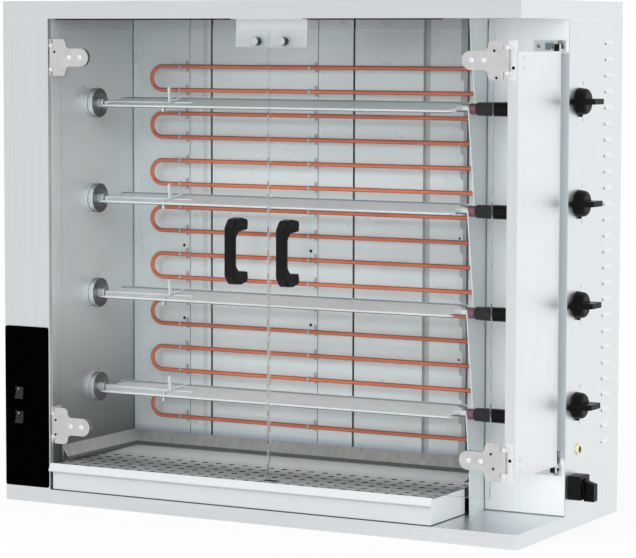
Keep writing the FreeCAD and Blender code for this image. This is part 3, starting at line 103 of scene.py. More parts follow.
class RotisserieSizes(bpy.types.PropertyGroup):
    """Sizes of the small fittings."""
    hinge_screw: length_property("Hinge screw head", "Radius of the domed heads on the hinge plates", 5.2)
    post_screw: length_property("Post screw head", "Radius of the flat heads on the door post", 4.0)
    panel_screw: length_property("Panel screw head", "Radius of the heads on the back and side sheets", 4.5)
    clip_screw: length_property("Clip screw head", "Radius of the screws between the heating elements", 3.2)
    brush_line: length_property("Brush line", "Distance between the brush lines of the steel", 3.0)
    tick_length: length_property("Dial tick", "Length of the printed ticks beside the knobs", 9.0)
    tick_width: length_property("Dial tick width", "Width of the printed ticks beside the knobs", 1.4)


class RotisserieColours(bpy.types.PropertyGroup):
    """Colours of the finishes."""
    cabinet_steel: colour_property("Cabinet steel", "Satin steel of the casing, hood and base", "#EAEEF0")
    bay_steel: colour_property("Bay steel", "Sheet behind the handle bay", "#F4F8F9")
    post_steel: colour_property("Post steel", "Satin steel of the swinging post", "#F0F3F5")
    reflector: colour_property("Reflector steel", "Bright sheets on the chamber's back wall", "#ECF4F6")
    wall_steel: colour_property("Wall steel", "Left wall of the chamber", "#E2E8EA")
    rack_steel: colour_property("Rack steel", "Right wall of the chamber", "#EBF0F2")
    comb_steel: colour_property("Comb steel", "Notched strip and clips on the back wall", "#C2C5C7")
    # Painted shade: near black for the unlit ceiling, the slot beside the tray's right end, the tray's
    # lowest edge and the walls of the insert's holes.
    shade_black: colour_property("Shade black", "Black painted as shade on the chamber's ceiling", "#161718")
    skirt_steel: colour_property("Skirt steel", "Fat-dulled grease skirts", "#CACECA")
    tray_steel: colour_property("Tray steel", "Drip tray", "#EDF1F3")
    insert_steel: colour_property("Insert steel", "Perforated insert", "#F4F8F9")
    # Baked fat on the tray's floor, made darker as painted shade under the insert.
    fat: colour_property("Baked fat", "Stain on the floor of the tray", "#1F1D1B")
    element: colour_property("Element", "Sheath of the heating elements", "#DE7652")
    spit_steel: colour_property("Spit steel", "Polished spits and sockets", "#F2F6F8")
    # Painted reflection: the dark of the drive sockets' upper and lower sides and end faces.
    socket_dark_reflection: colour_property("Socket face", "Dark reflections painted on the drive sockets", "#4A4C4E")
    bush: colour_property("Bush", "Copper-coloured bushes", "#9A6478")
    black: colour_property("Black plastic", "Grips and knobs", "#060607")
    fascia_black: colour_property("Fascia plastic", "Deep black of the control fascia", "#020202")
    rocker_black: colour_property("Rocker plastic", "Greyer black of the rocker buttons", "#151617")
    hinge: colour_property("Hinge alloy", "Die-cast hinge plates", "#D4D5D4")
    plated: colour_property("Plated steel", "Screws, pins, leaves and brackets", "#E4E8EA")
    hook: colour_property("Pivot steel", "Oiled steel of the post's pivots and set screws", "#2B2826")
    glass: colour_property("Glass", "Tint of the doors", "#FBFDFD")
    glass_edge: colour_property("Glass edge", "Ground edges of the doors", "#9AA7AA")
    lamp: colour_property("Lamp", "Amber lens of the pilot lamp", "#564816")
    lamp_ring: colour_property("Lamp ring", "Pale ring round the pilot lamp", "#E9E3BC")
    print_grey: colour_property("Print", "Ticks printed on the panels", "#9EA2A6")
    # A bluish band at the foot of the reflector sheets.
    foot_tint: colour_property("Foot tint", "Bluish band at the foot of the reflectors", "#9AA6BC")
    # Painted shade: the colour of the strip behind the post.
    behind_post_shade: colour_property("Shade behind the post", "Strip of the bay's back behind the post", "#BCC4C8")
    fold_dark_line: colour_property("Fold line", "Dark line along the fold at the foot of the bay's back", "#3A4044")
    nut: colour_property("Pivot nut", "Adjusting nut on the upper pivot plate", "#8F9EA6")
    pivot_screw: colour_property("Pivot screw", "Screw on the upper pivot plate", "#A9AEB2")
    upper_dot: colour_property("Upper dot", "Dot on the upper rocker", "#8C8F92")
    lower_dot: colour_property("Lower dot", "Dot on the lower rocker", "#6F9A84")
    paper_low: colour_property("Paper, darker", "Darker tone of the floor's paper", "#DADAD9")
    paper_high: colour_property("Paper, lighter", "Lighter tone of the floor's paper", "#DEDEDD")


def sizes():
    return bpy.context.scene.rotisserie_sizes


def colours():
    return bpy.context.scene.rotisserie_colours


# Materials

def add(tree, kind, settings=None, links=None):
    """Adds a node; settings name its inputs or attributes, links give the sockets that feed its inputs."""
    node = tree.nodes.new(kind)
    for key, value in (settings or {}).items():
        if isinstance(key, int) or key in node.inputs:
            node.inputs[key].default_value = value
        else:
            setattr(node, key, value)
    for key, source in (links or {}).items():
        tree.links.new(source, node.inputs[key])
    return node


def with_alpha(colour):
    return (*colour[:3], 1.0)


def shaded(colour, factor):
    """The colour made darker or lighter by a factor."""
    return (*[min(1.0, part * factor) for part in colour[:3]], 1.0)


def new_material(name, **settings):
    """Material with a Principled shader; returns the material, its tree and the shader."""
    material = bpy.data.materials.new(name)
    material.use_nodes = True
    tree = material.node_tree
    tree.nodes.clear()
    shader = add(tree, "ShaderNodeBsdfPrincipled", settings)
    add(tree, "ShaderNodeOutputMaterial", links={"Surface": shader.outputs["BSDF"]})
    return material, tree, shader


def cover(tree, shader, tint, roughness, height, strength, depth):
    """Links a shader's colour and roughness, and gives it a bump as deep as depth metres."""
    tree.links.new(tint, shader.inputs["Base Color"])
    if roughness is not None:
        tree.links.new(roughness, shader.inputs["Roughness"])
    bump = add(tree, "ShaderNodeBump", {"Strength": strength, "Distance": depth}, {"Height": height})
    tree.links.new(bump.outputs["Normal"], shader.inputs["Normal"])


def calculated(tree, operation, *sources):
    """The value of a math operation on sockets."""
    node = add(tree, "ShaderNodeMath", {"operation": operation}, dict(enumerate(sources)))
    return node.outputs["Value"]


def seen_directly(tree):
    """1 for rays from the camera, in reflections and through glass; 0 for those that light the object."""
    path = add(tree, "ShaderNodeLightPath")
    seen = calculated(tree, "MAXIMUM", path.outputs["Is Camera Ray"], path.outputs["Is Glossy Ray"])
    return calculated(tree, "MAXIMUM", seen, path.outputs["Is Transmission Ray"])


def pattern(tree, size, detail=2.0, stretch=(1.0, 1.0, 1.0), rough=0.5):
    """Noise whose grains are size metres across, longer along an axis whose stretch is under 1."""
    coordinates = add(tree, "ShaderNodeTexCoord")
    mapping = add(tree, "ShaderNodeMapping", {"Scale": [part / size for part in stretch]},
                  {"Vector": coordinates.outputs["Object"]})
    return add(tree, "ShaderNodeTexNoise", {"Scale": 1.0, "Detail": detail, "Roughness": rough},
               {"Vector": mapping.outputs["Vector"]}).outputs["Fac"]


def spread(tree, source, low, high, from_low=0.3, from_high=0.7):
    """The value of source, spread from low to high."""
    return add(tree, "ShaderNodeMapRange", {"From Min": from_low, "From Max": from_high, "To Min": low,
                                            "To Max": high}, {"Value": source}).outputs["Result"]


def tones(tree, source, dark, light, low=0.3, high=0.7):
    """Colour that runs from dark to light with the source's value."""
    ramp = add(tree, "ShaderNodeValToRGB", links={"Fac": source})
    ramp.color_ramp.elements[0].position = low
    ramp.color_ramp.elements[0].color = dark
    ramp.color_ramp.elements[1].position = high
    ramp.color_ramp.elements[1].color = light
    return ramp.outputs["Color"]


def facing_value(tree, axis):
    """The part of the piece's surface normal along an axis, from -1 to 1."""
    coordinates = add(tree, "ShaderNodeTexCoord")
    parts = add(tree, "ShaderNodeSeparateXYZ", links={"Vector": coordinates.outputs["Normal"]})
    return parts.outputs[axis]


def facing(tree, axis, low, high):
    """How much a surface of the piece faces an axis, from 0 at low to 1 at high."""
    return spread(tree, facing_value(tree, axis), 0.0, 1.0, low, high)


def band(tree, axis, low, high, soft, soft_high=None):
    """1 between two places along an axis and 0 outside, fading over a soft length at each end."""
    coordinates = add(tree, "ShaderNodeTexCoord")
    parts = add(tree, "ShaderNodeSeparateXYZ", links={"Vector": coordinates.outputs["Object"]})
    rise = spread(tree, parts.outputs[axis], 0.0, 1.0, low - soft, low)
    fall = spread(tree, parts.outputs[axis], 1.0, 0.0, high, high + (soft_high or soft))
    return calculated(tree, "MULTIPLY", rise, fall)


def zone(tree, axis, low, high, soft, soft_high=None):
    """A band given in millimetres from the cabinet's front left bottom corner."""
    start, end = (getattr(place(part, part, part), axis.lower()) for part in (low, high))
    return band(tree, axis, start, end, soft * MM, (soft_high or soft) * MM)


def edge_wear(tree, radius):
    """How near a point is to a sharp edge, from 0 to 1, for edges rubbed bright by hands and cloths."""
    rounded = add(tree, "ShaderNodeBevel", {"samples": 4, "Radius": radius})
    flat = add(tree, "ShaderNodeNewGeometry")
    match = add(tree, "ShaderNodeVectorMath", {"operation": "DOT_PRODUCT"},
                {0: rounded.outputs["Normal"], 1: flat.outputs["Normal"]})
    return spread(tree, match.outputs["Value"], 0.9, 0.0, 0.75, 0.99)


def mixed(tree, factor, first, second):
    """Colour that runs from first to second with the factor; either may be a socket or a colour."""
    node = add(tree, "ShaderNodeMix", {"data_type": "RGBA"}, {"Factor": factor})
    sockets = [s for s in node.inputs if s.type == "RGBA"]
    for socket, value in zip(sockets, (first, second)):
        if isinstance(value, bpy.types.NodeSocket):
            tree.links.new(value, socket)
        else:
            socket.default_value = value
    return [s for s in node.outputs if s.type == "RGBA"][0]


def marked(tree, tint, where, strength, colour):
    """The tint with a mark of a colour, as strong as the strength where the mark is."""
    return mixed(tree, spread(tree, where, 0.0, strength, 0.0, 1.0), tint, colour)


def brushed_sheet(name, colour, grain, roughness=0.36, brush=1.0, worn=True, marks_and_painted_light=None, metallic=1.0):
    """Stainless sheet brushed along one axis: fine lines that widen the highlight across the grain.

    The function passed for marks takes the tree and the tint and returns the tint with stains or
    painted light and shade on it. A metallic value under 1 stands for the pale haze of a coarse
    brushing, which scatters light to all sides.

    The real lines are about 0.2 mm apart, too fine to show, so they are drawn as coarse as
    the brush line size.
    """
    material, tree, shader = new_material(name, Metallic=metallic)
    stretch = [0.012 if axis == grain else 1.0 for axis in "XYZ"]
    lines = pattern(tree, sizes().brush_line, 3.0, stretch, 0.6)
    clouds = pattern(tree, 180 * MM, 3.0)
    smears = pattern(tree, 35 * MM, 4.0, rough=0.6)
    tint = tones(tree, lines, shaded(colour, 1.0 - 0.05 * brush), shaded(colour, 1.0 + 0.03 * brush))
    tint = mixed(tree, spread(tree, clouds, 0.0, 0.25), tint, shaded(colour, 0.93))
    if worn:
        tint = mixed(tree, edge_wear(tree, 1.2 * MM), tint, shaded(colour, 1.12))
    if marks_and_painted_light:
        tint = marks_and_painted_light(tree, tint)
    base = spread(tree, lines, roughness - 0.05 * brush, roughness + 0.05 * brush)
    smeared = calculated(tree, "ADD", base, spread(tree, smears, -0.02, 0.05))
    cover(tree, shader, tint, smeared, lines, 0.12 * brush, 0.12 * MM)
    return material


def reflector_sheet(name, colour, roughness, marks_and_painted_light, metallic):
    """Annealed stainless sheet: smooth, slightly wavy, hazy from a thin film of baked fat."""
    material, tree, shader = new_material(name, Metallic=metallic)
    waves = pattern(tree, 300 * MM, 1.0)
    film = pattern(tree, 90 * MM, 1.5)
    tint = tones(tree, film, shaded(colour, 0.95), shaded(colour, 1.02))
    if marks_and_painted_light:
        tint = marks_and_painted_light(tree, tint)
    cover(tree, shader, tint, spread(tree, film, roughness - 0.05, roughness + 0.08), waves, 0.3, 1.0 * MM)
    return material


def wall_lower_darkening(tree, tint):
    """The lower part of the chamber's left wall is painted darker towards the bottom."""
    low = zone(tree, "Z", 0.0, 110.0, 310.0)
    return marked(tree, tint, low, 0.95, shaded(colours().wall_steel, 0.12))


def reflector_painted_shade_and_tint(tree, tint):
    """Painted shade that evens out the brighter lighting on the right half, a faint painted shadow of the
    doors' edges, a bluish band at the foot, and a darker grey painted as shade in the channel.
    """
    colour = colours().reflector
    # Painted shade: the right half is painted darker to even out the brighter lighting there.
    film = zone(tree, "X", 420.0, 1000.0, 250.0)
    tint = marked(tree, tint, film, 1.0, shaded(colour, 0.92))
    # Painted shadow: a faint grey band cast by the doors' edges.
    fold = zone(tree, "X", 277.0, 286.0, 1.5)
    tint = marked(tree, tint, fold, 0.3, shaded(colour, 0.45))
    # A bluish band at the foot of the sheets.
    foot = zone(tree, "Z", 0.0, 114.0, 11.0)
    tint = marked(tree, tint, foot, 0.8, with_alpha(colours().foot_tint))
    # Painted shade: the recessed channel is painted a darker grey.
    channel = zone(tree, "X", 779.0, 795.0, 0.5)
    return marked(tree, tint, channel, 0.85, shaded(colour, 0.6))


def comb_stain(tree, tint):
    """The notched strip near the right wall has turned a darker grey than the clips."""
    strip = zone(tree, "X", 862.0, 877.0, 0.5)
    return marked(tree, tint, strip, 0.9, shaded(colours().comb_steel, 0.85))


def bay_painted_shade(tree, tint):
    """Painted shade on the strip of the bay's back behind the post, where little light reaches, and a dark
    line along the fold at the base.
    """
    # Painted shade: the strip behind the post is painted darker.
    behind = calculated(tree, "MULTIPLY", zone(tree, "X", 1085.0, 1200.0, 12.0),
                        zone(tree, "Z", 142.0, 898.0, 8.0))
    tint = mixed(tree, behind, tint, with_alpha(colours().behind_post_shade))
    # A dark line along the fold at the base.
    fold = zone(tree, "Z", 0.0, 29.8, 0.4)
    return marked(tree, tint, fold, 0.8, with_alpha(colours().fold_dark_line))


def louvre_painted_highlight(tree, tint):
    """Painted highlight: the upward-facing lips of the louvres are painted a little brighter."""
    return mixed(tree, facing(tree, "Z", 0.25, 0.45), tint, shaded(colours().cabinet_steel, 1.06))


def tray_fat_and_painted_shade(tree, tint):
    """Painted light and shade on the tray, and fat on its floor: faces other than the right end, and the
    tops, are painted darker, the back half of the right end and the lowest edge are painted black as shadow,
    and the floor is dark with baked fat and painted shade under the insert.
    """
    colour = colours().tray_steel
    # Painted shadow: the black of the slot beside the tray's right end and of its lowest edge.
    baked = with_alpha(colours().shade_black)
    # Painted light: only the faces turned to the right keep the full colour; the others are painted darker.
    right_end = facing(tree, "X", 0.5, 0.9)
    tint = mixed(tree, right_end, shaded(colour, 0.66), tint)
    # Painted shade: the tops are painted darker.
    tint = mixed(tree, facing(tree, "Z", 0.5, 0.9), tint, shaded(colour, 0.5))
    # Painted shadow: the back half of the right end, in the slot beside the rack wall, is painted black.
    back_half = zone(tree, "Y", 148.5, 400.0, 0.4)
    tint = mixed(tree, calculated(tree, "MULTIPLY", right_end, back_half), tint, baked)
    # Painted shadow: the lowest edge is painted black.
    lowest_edge = zone(tree, "Z", 0.0, 29.4, 0.3)
    tint = mixed(tree, lowest_edge, tint, baked)
    # Baked fat on the floor, made darker still as painted shade under the insert.
    floor = calculated(tree, "MULTIPLY", zone(tree, "Z", -1000.0, 34.0, 6.0), facing(tree, "Z", 0.3, 0.8))
    return mixed(tree, floor, tint, with_alpha(colours().fat))


def insert_painted_shade(tree, tint):
    """Painted reflection: a dark band across the middle of the insert; the walls of its holes are painted
    black as shade.
    """
    # Painted reflection: the dark band across the middle.
    dark_reflection_band = zone(tree, "Y", 108.0, 118.0, 300.0, 107.0)
    tint = mixed(tree, dark_reflection_band, tint, shaded(colours().insert_steel, 0.2))
    # Painted shade: the walls of the holes are painted black.
    upright = calculated(tree, "ABSOLUTE", facing_value(tree, "Z"))
    walls = calculated(tree, "MULTIPLY", spread(tree, upright, 1.0, 0.0, 0.3, 0.6),
                       zone(tree, "Y", 5.0, 190.0, 0.5))
    return mixed(tree, walls, tint, with_alpha(colours().shade_black))


def pivot_stain(tree, tint):
    """The ears, pins and heads of the pivots are oiled and dark; their plates are bare sheet."""
    pin = 1111.5
    oiled = calculated(tree, "MULTIPLY", zone(tree, "X", pin - 5.0, pin + 5.0, 0.5),
                       zone(tree, "Y", -1000.0, 214.4, 0.2))
    return mixed(tree, oiled, tint, with_alpha(colours().hook))


def magnet_stain(tree, tint):
    """The pot of a magnet is black, with a bare steel face."""
    return mixed(tree, facing(tree, "Y", -0.6, -0.95), with_alpha(colours().hook), tint)


def shade_black_sheet(name, colour):
    """Sheet steel painted nearly black as painted shade, since it faces down and gets no light: rough, with
    duller patches.
    """
    material, tree, shader = new_material(name, Metallic=0.0, **{"Specular IOR Level": 0.2})
    crust = pattern(tree, 12 * MM, 4.0, rough=0.6)
    tint = tones(tree, crust, shaded(colour, 0.7), shaded(colour, 1.6))
    cover(tree, shader, tint, spread(tree, crust, 0.55, 0.8), crust, 0.4, 0.3 * MM)
    return material


def fat_dulled_sheet(name, colour):
    """Sheet steel under the birds: grey-green, dull, with darker runs of baked fat."""
    material, tree, shader = new_material(name, Metallic=0.6)
    runs = pattern(tree, 14 * MM, 4.0, (1.0, 1.0, 0.25), 0.6)
    grains = pattern(tree, 2.5 * MM, 2.0)
    tint = tones(tree, runs, shaded(colour, 0.8), shaded(colour, 1.1))
    edge = zone(tree, "Z", 0.0, 89.5, 1.5)
    tint = marked(tree, tint, edge, 0.9, shaded(colour, 0.15))
    cover(tree, shader, tint, spread(tree, runs, 0.42, 0.62), grains, 0.25, 0.2 * MM)
    return material


def element_sheath(name, colour):
    """Heated nickel-steel sheath: an orange-red oxide skin, matt and darker in patches, with painted shade
    on the top and the underside of each tube.
    """
    material, tree, shader = new_material(name, Metallic=0.1, Roughness=0.42, **{"Specular IOR Level": 0.4})
    patches = pattern(tree, 45 * MM, 4.0, (0.5, 1.0, 1.0), 0.6)
    scale = pattern(tree, 2 * MM, 3.0)
    tint = tones(tree, patches, shaded(colour, 0.88), shaded(colour, 1.12))
    tint = mixed(tree, spread(tree, scale, 0.0, 0.2, 0.5, 0.75), tint, shaded(colour, 0.55))
    # Painted shade: the top and the underside of each tube are painted darker.
    tint = mixed(tree, facing(tree, "Z", 0.4, 0.9), tint, shaded(colour, 0.4))
    tint = mixed(tree, facing(tree, "Z", -0.6, -0.95), tint, shaded(colour, 0.55))
    cover(tree, shader, tint, None, scale, 0.3, 0.15 * MM)
    return material


def web_painted_shade(tree, tint):
    """Painted shade: dark shadow lines where the rods meet the web of a spit, and dark undersides."""
    colour = colours().spit_steel
    # Painted shade: the undersides are painted dark.
    tint = mixed(tree, facing(tree, "Z", -0.25, -0.8), tint, shaded(colour, 0.12))
    # Painted shadow: a dark line at each joint between a rod and the web.
    for front in (118.0, 183.0):
        joint = zone(tree, "Y", front, front + 3.0, 0.5)
        tint = marked(tree, tint, joint, 0.8, shaded(colour, 0.15))
    return tint


def polished_steel(name, colour, roughness, grain, metallic, marks_and_painted_light=None):
    """Polished stainless steel: fine scratches and dull finger marks soften what it mirrors."""
    material, tree, shader = new_material(name, Metallic=metallic)
    stretch = [0.05 if axis == grain else 1.0 for axis in "XYZ"]
    scratches = pattern(tree, 1.2 * MM, 2.0, stretch)
    marks = pattern(tree, 22 * MM, 4.0, rough=0.65)
    tint = tones(tree, marks, shaded(colour, 0.9), shaded(colour, 1.02))
    tint = mixed(tree, edge_wear(tree, 0.6 * MM), tint, shaded(colour, 1.12))
    if marks_and_painted_light:
        tint = marks_and_painted_light(tree, tint)
    cover(tree, shader, tint, spread(tree, marks, roughness - 0.03, roughness + 0.1),
          scratches, 0.1, 0.05 * MM)
    return material


def turned_steel(name, colour, axis_point):
    """Steel turned on a lathe about an axis along X: fine rings, with dark reflections painted on the upper
    and lower sides and the end face, and a painted highlight across the end face.

    The real tool marks are about 0.3 mm apart and are drawn 1.5 mm apart to show.
    """
    material, tree, shader = new_material(name, Metallic=0.7)
    ring_spacing = 1.5 * MM
    rings_to_scale = 0.314  # a wave texture of scale 1 has a ring every 0.314 metres
    coordinates = add(tree, "ShaderNodeTexCoord")
    mapping = add(tree, "ShaderNodeMapping", {"Location": (-axis_point.x, -axis_point.y, -axis_point.z)},
                  {"Vector": coordinates.outputs["Object"]})
    rings = add(tree, "ShaderNodeTexWave",
                {"wave_type": "RINGS", "rings_direction": "X", "Scale": rings_to_scale / ring_spacing,
                 "Distortion": 0.6, "Detail": 1.0, "Detail Scale": 2.0},
                {"Vector": mapping.outputs["Vector"]}).outputs["Fac"]
    marks = pattern(tree, 18 * MM, 4.0, rough=0.6)
    tint = tones(tree, marks, shaded(colour, 0.9), shaded(colour, 1.0))
    # Painted reflection: the upper and lower sides of the socket are painted dark.
    upright = calculated(tree, "ABSOLUTE", facing_value(tree, "Z"))
    tint = mixed(tree, spread(tree, upright, 0.0, 0.85, 0.55, 0.95), tint,
                 with_alpha(colours().socket_dark_reflection))
    # Painted highlight: a lighter band across the end face at the axis' height; the rest of the face is
    # painted dark as a reflection.
    level = band(tree, "Z", axis_point.z - 4 * MM, axis_point.z + 4 * MM, 16 * MM)
    face = mixed(tree, level, with_alpha(colours().socket_dark_reflection), shaded(colours().socket_dark_reflection, 3.0))
    tint = mixed(tree, facing(tree, "X", 0.8, 0.97), tint, face)
    tint = mixed(tree, edge_wear(tree, 0.8 * MM), tint, shaded(colour, 0.95))
    cover(tree, shader, tint, spread(tree, rings, 0.16, 0.28, 0.0, 1.0), rings, 0.15, 0.06 * MM)
    return material


def sintered_bronze(name, colour):
    """Oil-filled sintered bearing bronze: pinkish, fine-pored and semi-matt."""
    material, tree, shader = new_material(name, Metallic=0.8)
    pores = pattern(tree, 0.9 * MM, 2.0)
    oil = pattern(tree, 9 * MM, 3.0)
    tint = tones(tree, oil, shaded(colour, 0.8), shaded(colour, 1.08))
    cover(tree, shader, tint, spread(tree, oil, 0.32, 0.5), pores, 0.35, 0.1 * MM)
    return material


def moulded_plastic(name, colour, roughness=0.42, grain=0.8, depth=0.08, shine=0.2):
    """Moulded black plastic: a fine spark-eroded grain, rubbed a little shinier and paler at the edges."""
    material, tree, shader = new_material(name, Metallic=0.0, IOR=1.5, **{"Specular IOR Level": shine})
    texture = pattern(tree, grain * MM, 2.0)
    handling = pattern(tree, 25 * MM, 4.0, rough=0.6)
    tint = tones(tree, handling, shaded(colour, 0.85), shaded(colour, 1.25))
    tint = mixed(tree, edge_wear(tree, 0.6 * MM), tint, shaded(colour, 4.0))
    cover(tree, shader, tint, spread(tree, handling, roughness - 0.07, roughness + 0.07),
          texture, 0.3, depth * MM)
    return material


def die_cast_alloy(name, colour):
    """Die-cast zinc alloy, shot-blasted: a soft grainy sheen, bare and brighter on the edges."""
    material, tree, shader = new_material(name, Metallic=0.9)
    grains = pattern(tree, 1.0 * MM, 3.0)
    stains = pattern(tree, 16 * MM, 4.0, rough=0.6)
    tint = tones(tree, stains, shaded(colour, 0.88), shaded(colour, 1.05))
    tint = mixed(tree, edge_wear(tree, 0.8 * MM), tint, shaded(colour, 1.15))
    cover(tree, shader, tint, spread(tree, stains, 0.36, 0.5), grains, 0.3, 0.08 * MM)
    return material


def plated_steel(name, colour, roughness=0.3, marks_and_painted_light=None, metallic=1.0):
    """Zinc-plated steel: a dull silver shine with faint cloudy spangle."""
    material, tree, shader = new_material(name, Metallic=metallic)
    spangle = pattern(tree, 5 * MM, 2.0)
    tint = tones(tree, spangle, shaded(colour, 0.93), shaded(colour, 1.04))
    tint = mixed(tree, edge_wear(tree, 0.5 * MM), tint, shaded(colour, 1.15))
    if marks_and_painted_light:
        tint = marks_and_painted_light(tree, tint)
    cover(tree, shader, tint, spread(tree, spangle, roughness - 0.05, roughness + 0.08),
          spangle, 0.1, 0.05 * MM)
    return material


def toughened_glass(name, colour, edge):
    """Toughened float glass, 5 mm: clear, with a thin film of fat and ground edges.

    Its index of refraction is under that of real glass, 1.52, so that it mirrors less of the room.
    Shadow rays pass straight through, so that the chamber behind is lit as it is through real glass.
    """
    index = 1.28
    ground_share = 0.2
    material = bpy.data.materials.new(name)
    material.use_nodes = True
    tree = material.node_tree
    tree.nodes.clear()
    film = pattern(tree, 70 * MM, 1.5)
    tint = tones(tree, film, shaded(colour, 0.985), shaded(colour, 1.0))
    glass = add(tree, "ShaderNodeBsdfPrincipled",
                {"Transmission Weight": 1.0, "IOR": index, "Metallic": 0.0, "Roughness": 0.0},
                {"Base Color": tint})
    ground = add(tree, "ShaderNodeBsdfPrincipled", {"Base Color": with_alpha(edge), "Roughness": 0.5})
    clear = add(tree, "ShaderNodeBsdfTransparent", {"Color": with_alpha(colour)})
    rim = add(tree, "ShaderNodeMixShader", {"Fac": ground_share},
              {1: clear.outputs["BSDF"], 2: ground.outputs["BSDF"]})
    across = calculated(tree, "ABSOLUTE", facing_value(tree, "Y"))
    border = spread(tree, across, 1.0, 0.0, 0.5, 0.8)
    body = add(tree, "ShaderNodeMixShader", links={0: border, 1: glass.outputs["BSDF"],
                                                   2: rim.outputs["Shader"]})
    path = add(tree, "ShaderNodeLightPath")
    both = add(tree, "ShaderNodeMixShader", links={0: path.outputs["Is Shadow Ray"],
                                                   1: body.outputs["Shader"], 2: clear.outputs["BSDF"]})
    add(tree, "ShaderNodeOutputMaterial", links={"Surface": both.outputs["Shader"]})
    return material


def lamp_lens(name, colour, ring, centre):
    """Moulded amber acrylic, unlit: dark and clear-looking, with a wet shine, in a pale ring."""
    lens_radius = 6.4 * MM
    material, tree, shader = new_material(name, Roughness=0.12, IOR=1.49, **{"Specular IOR Level": 0.1})
    depth = pattern(tree, 3 * MM, 2.0)
    coordinates = add(tree, "ShaderNodeTexCoord")
    flat = add(tree, "ShaderNodeVectorMath", {"operation": "MULTIPLY", 1: (0.0, 1.0, 1.0)},
               {0: coordinates.outputs["Object"]})
    away = add(tree, "ShaderNodeVectorMath", {"operation": "DISTANCE", 1: (0.0, centre.y, centre.z)},
               {0: flat.outputs["Vector"]})
    outside = spread(tree, away.outputs["Value"], 0.0, 1.0, lens_radius, lens_radius + 0.4 * MM)
    lens = tones(tree, depth, shaded(colour, 0.6), shaded(colour, 1.1))
    cover(tree, shader, mixed(tree, outside, lens, with_alpha(ring)), None, depth, 0.2, 0.1 * MM)
    return material


def printed_ink(name, colour):
    """Screen-printed ink: flat and matt, with a slightly broken edge."""
    material, tree, shader = new_material(name, Roughness=0.6)
    speckle = pattern(tree, 0.8 * MM, 2.0)
    tree.links.new(tones(tree, speckle, shaded(colour, 0.9), shaded(colour, 1.08)),
                   shader.inputs["Base Color"])
    return material


def finish(nodes, material):
    """Gives CAD nodes a material."""
    for name in nodes:
        node = NODES[name]
        if not node.material_slots:
            node.data.materials.append(material)
        for slot in node.material_slots:
            slot.material = material


def numbered(name):
    return [f"{name}_{number}" for number in SPIT_NUMBERS]


# Mesh helpers

def to_object(mesh, name, body, material):
    """Ends a bmesh as an object in the scene that rides on a CAD body."""
    bmesh.ops.remove_doubles(mesh, verts=mesh.verts, dist=1e-6)
    bmesh.ops.recalc_face_normals(mesh, faces=mesh.faces)
    data = bpy.data.meshes.new(name)
    mesh.to_mesh(data)
    mesh.free()
    data.materials.append(material)
    piece = bpy.data.objects.new(name, data)
    bpy.context.scene.collection.objects.link(piece)
    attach(piece, body)
    return piece


def turned(mesh, outline, place_matrix, segments=32):
    """Spins an outline of (radius, height) points about the z axis, then puts it where the matrix says."""
    points = [mesh.verts.new((radius, 0.0, height)) for radius, height in outline]
    edges = [mesh.edges.new(pair) for pair in zip(points, points[1:])]
    made = bmesh.ops.spin(mesh, geom=points + edges, cent=(0, 0, 0), axis=(0, 0, 1), dvec=(0, 0, 0),
                          angle=2 * math.pi, steps=segments, use_merge=True)
    verts = {v for item in made["geom_last"] for v in (item.verts if hasattr(item, "verts") else [item])}
    verts |= set(points)
    linked = set()
    stack = list(verts)
    while stack:
        vert = stack.pop()
        if vert in linked:
            continue
        linked.add(vert)
        stack += [edge.other_vert(vert) for edge in vert.link_edges]
    bmesh.ops.transform(mesh, matrix=place_matrix, verts=list(linked))


def block(mesh, low, high, bevel=0.0):
    """Box between two corners, with rounded edges."""
    made = bmesh.ops.create_cube(mesh, size=1.0)["verts"]
    centre = (low + high) / 2
    size = high - low
    matrix = Matrix.Translation(centre) @ Matrix.Diagonal((*size, 1.0))
    bmesh.ops.transform(mesh, matrix=matrix, verts=made)
    if bevel:
        edges = list({edge for vert in made for edge in vert.link_edges})
        bmesh.ops.bevel(mesh, geom=edges, offset=bevel, offset_type="OFFSET", affect="EDGES",
                        segments=2, profile=0.5, material=-1)


# Turns that make a head that stands on z = 0 face along an axis
FACING = {
    "-Y": Matrix.Rotation(math.radians(90), 4, "X"),
    "+Y": Matrix.Rotation(math.radians(-90), 4, "X"),
    "+X": Matrix.Rotation(math.radians(90), 4, "Y"),
}


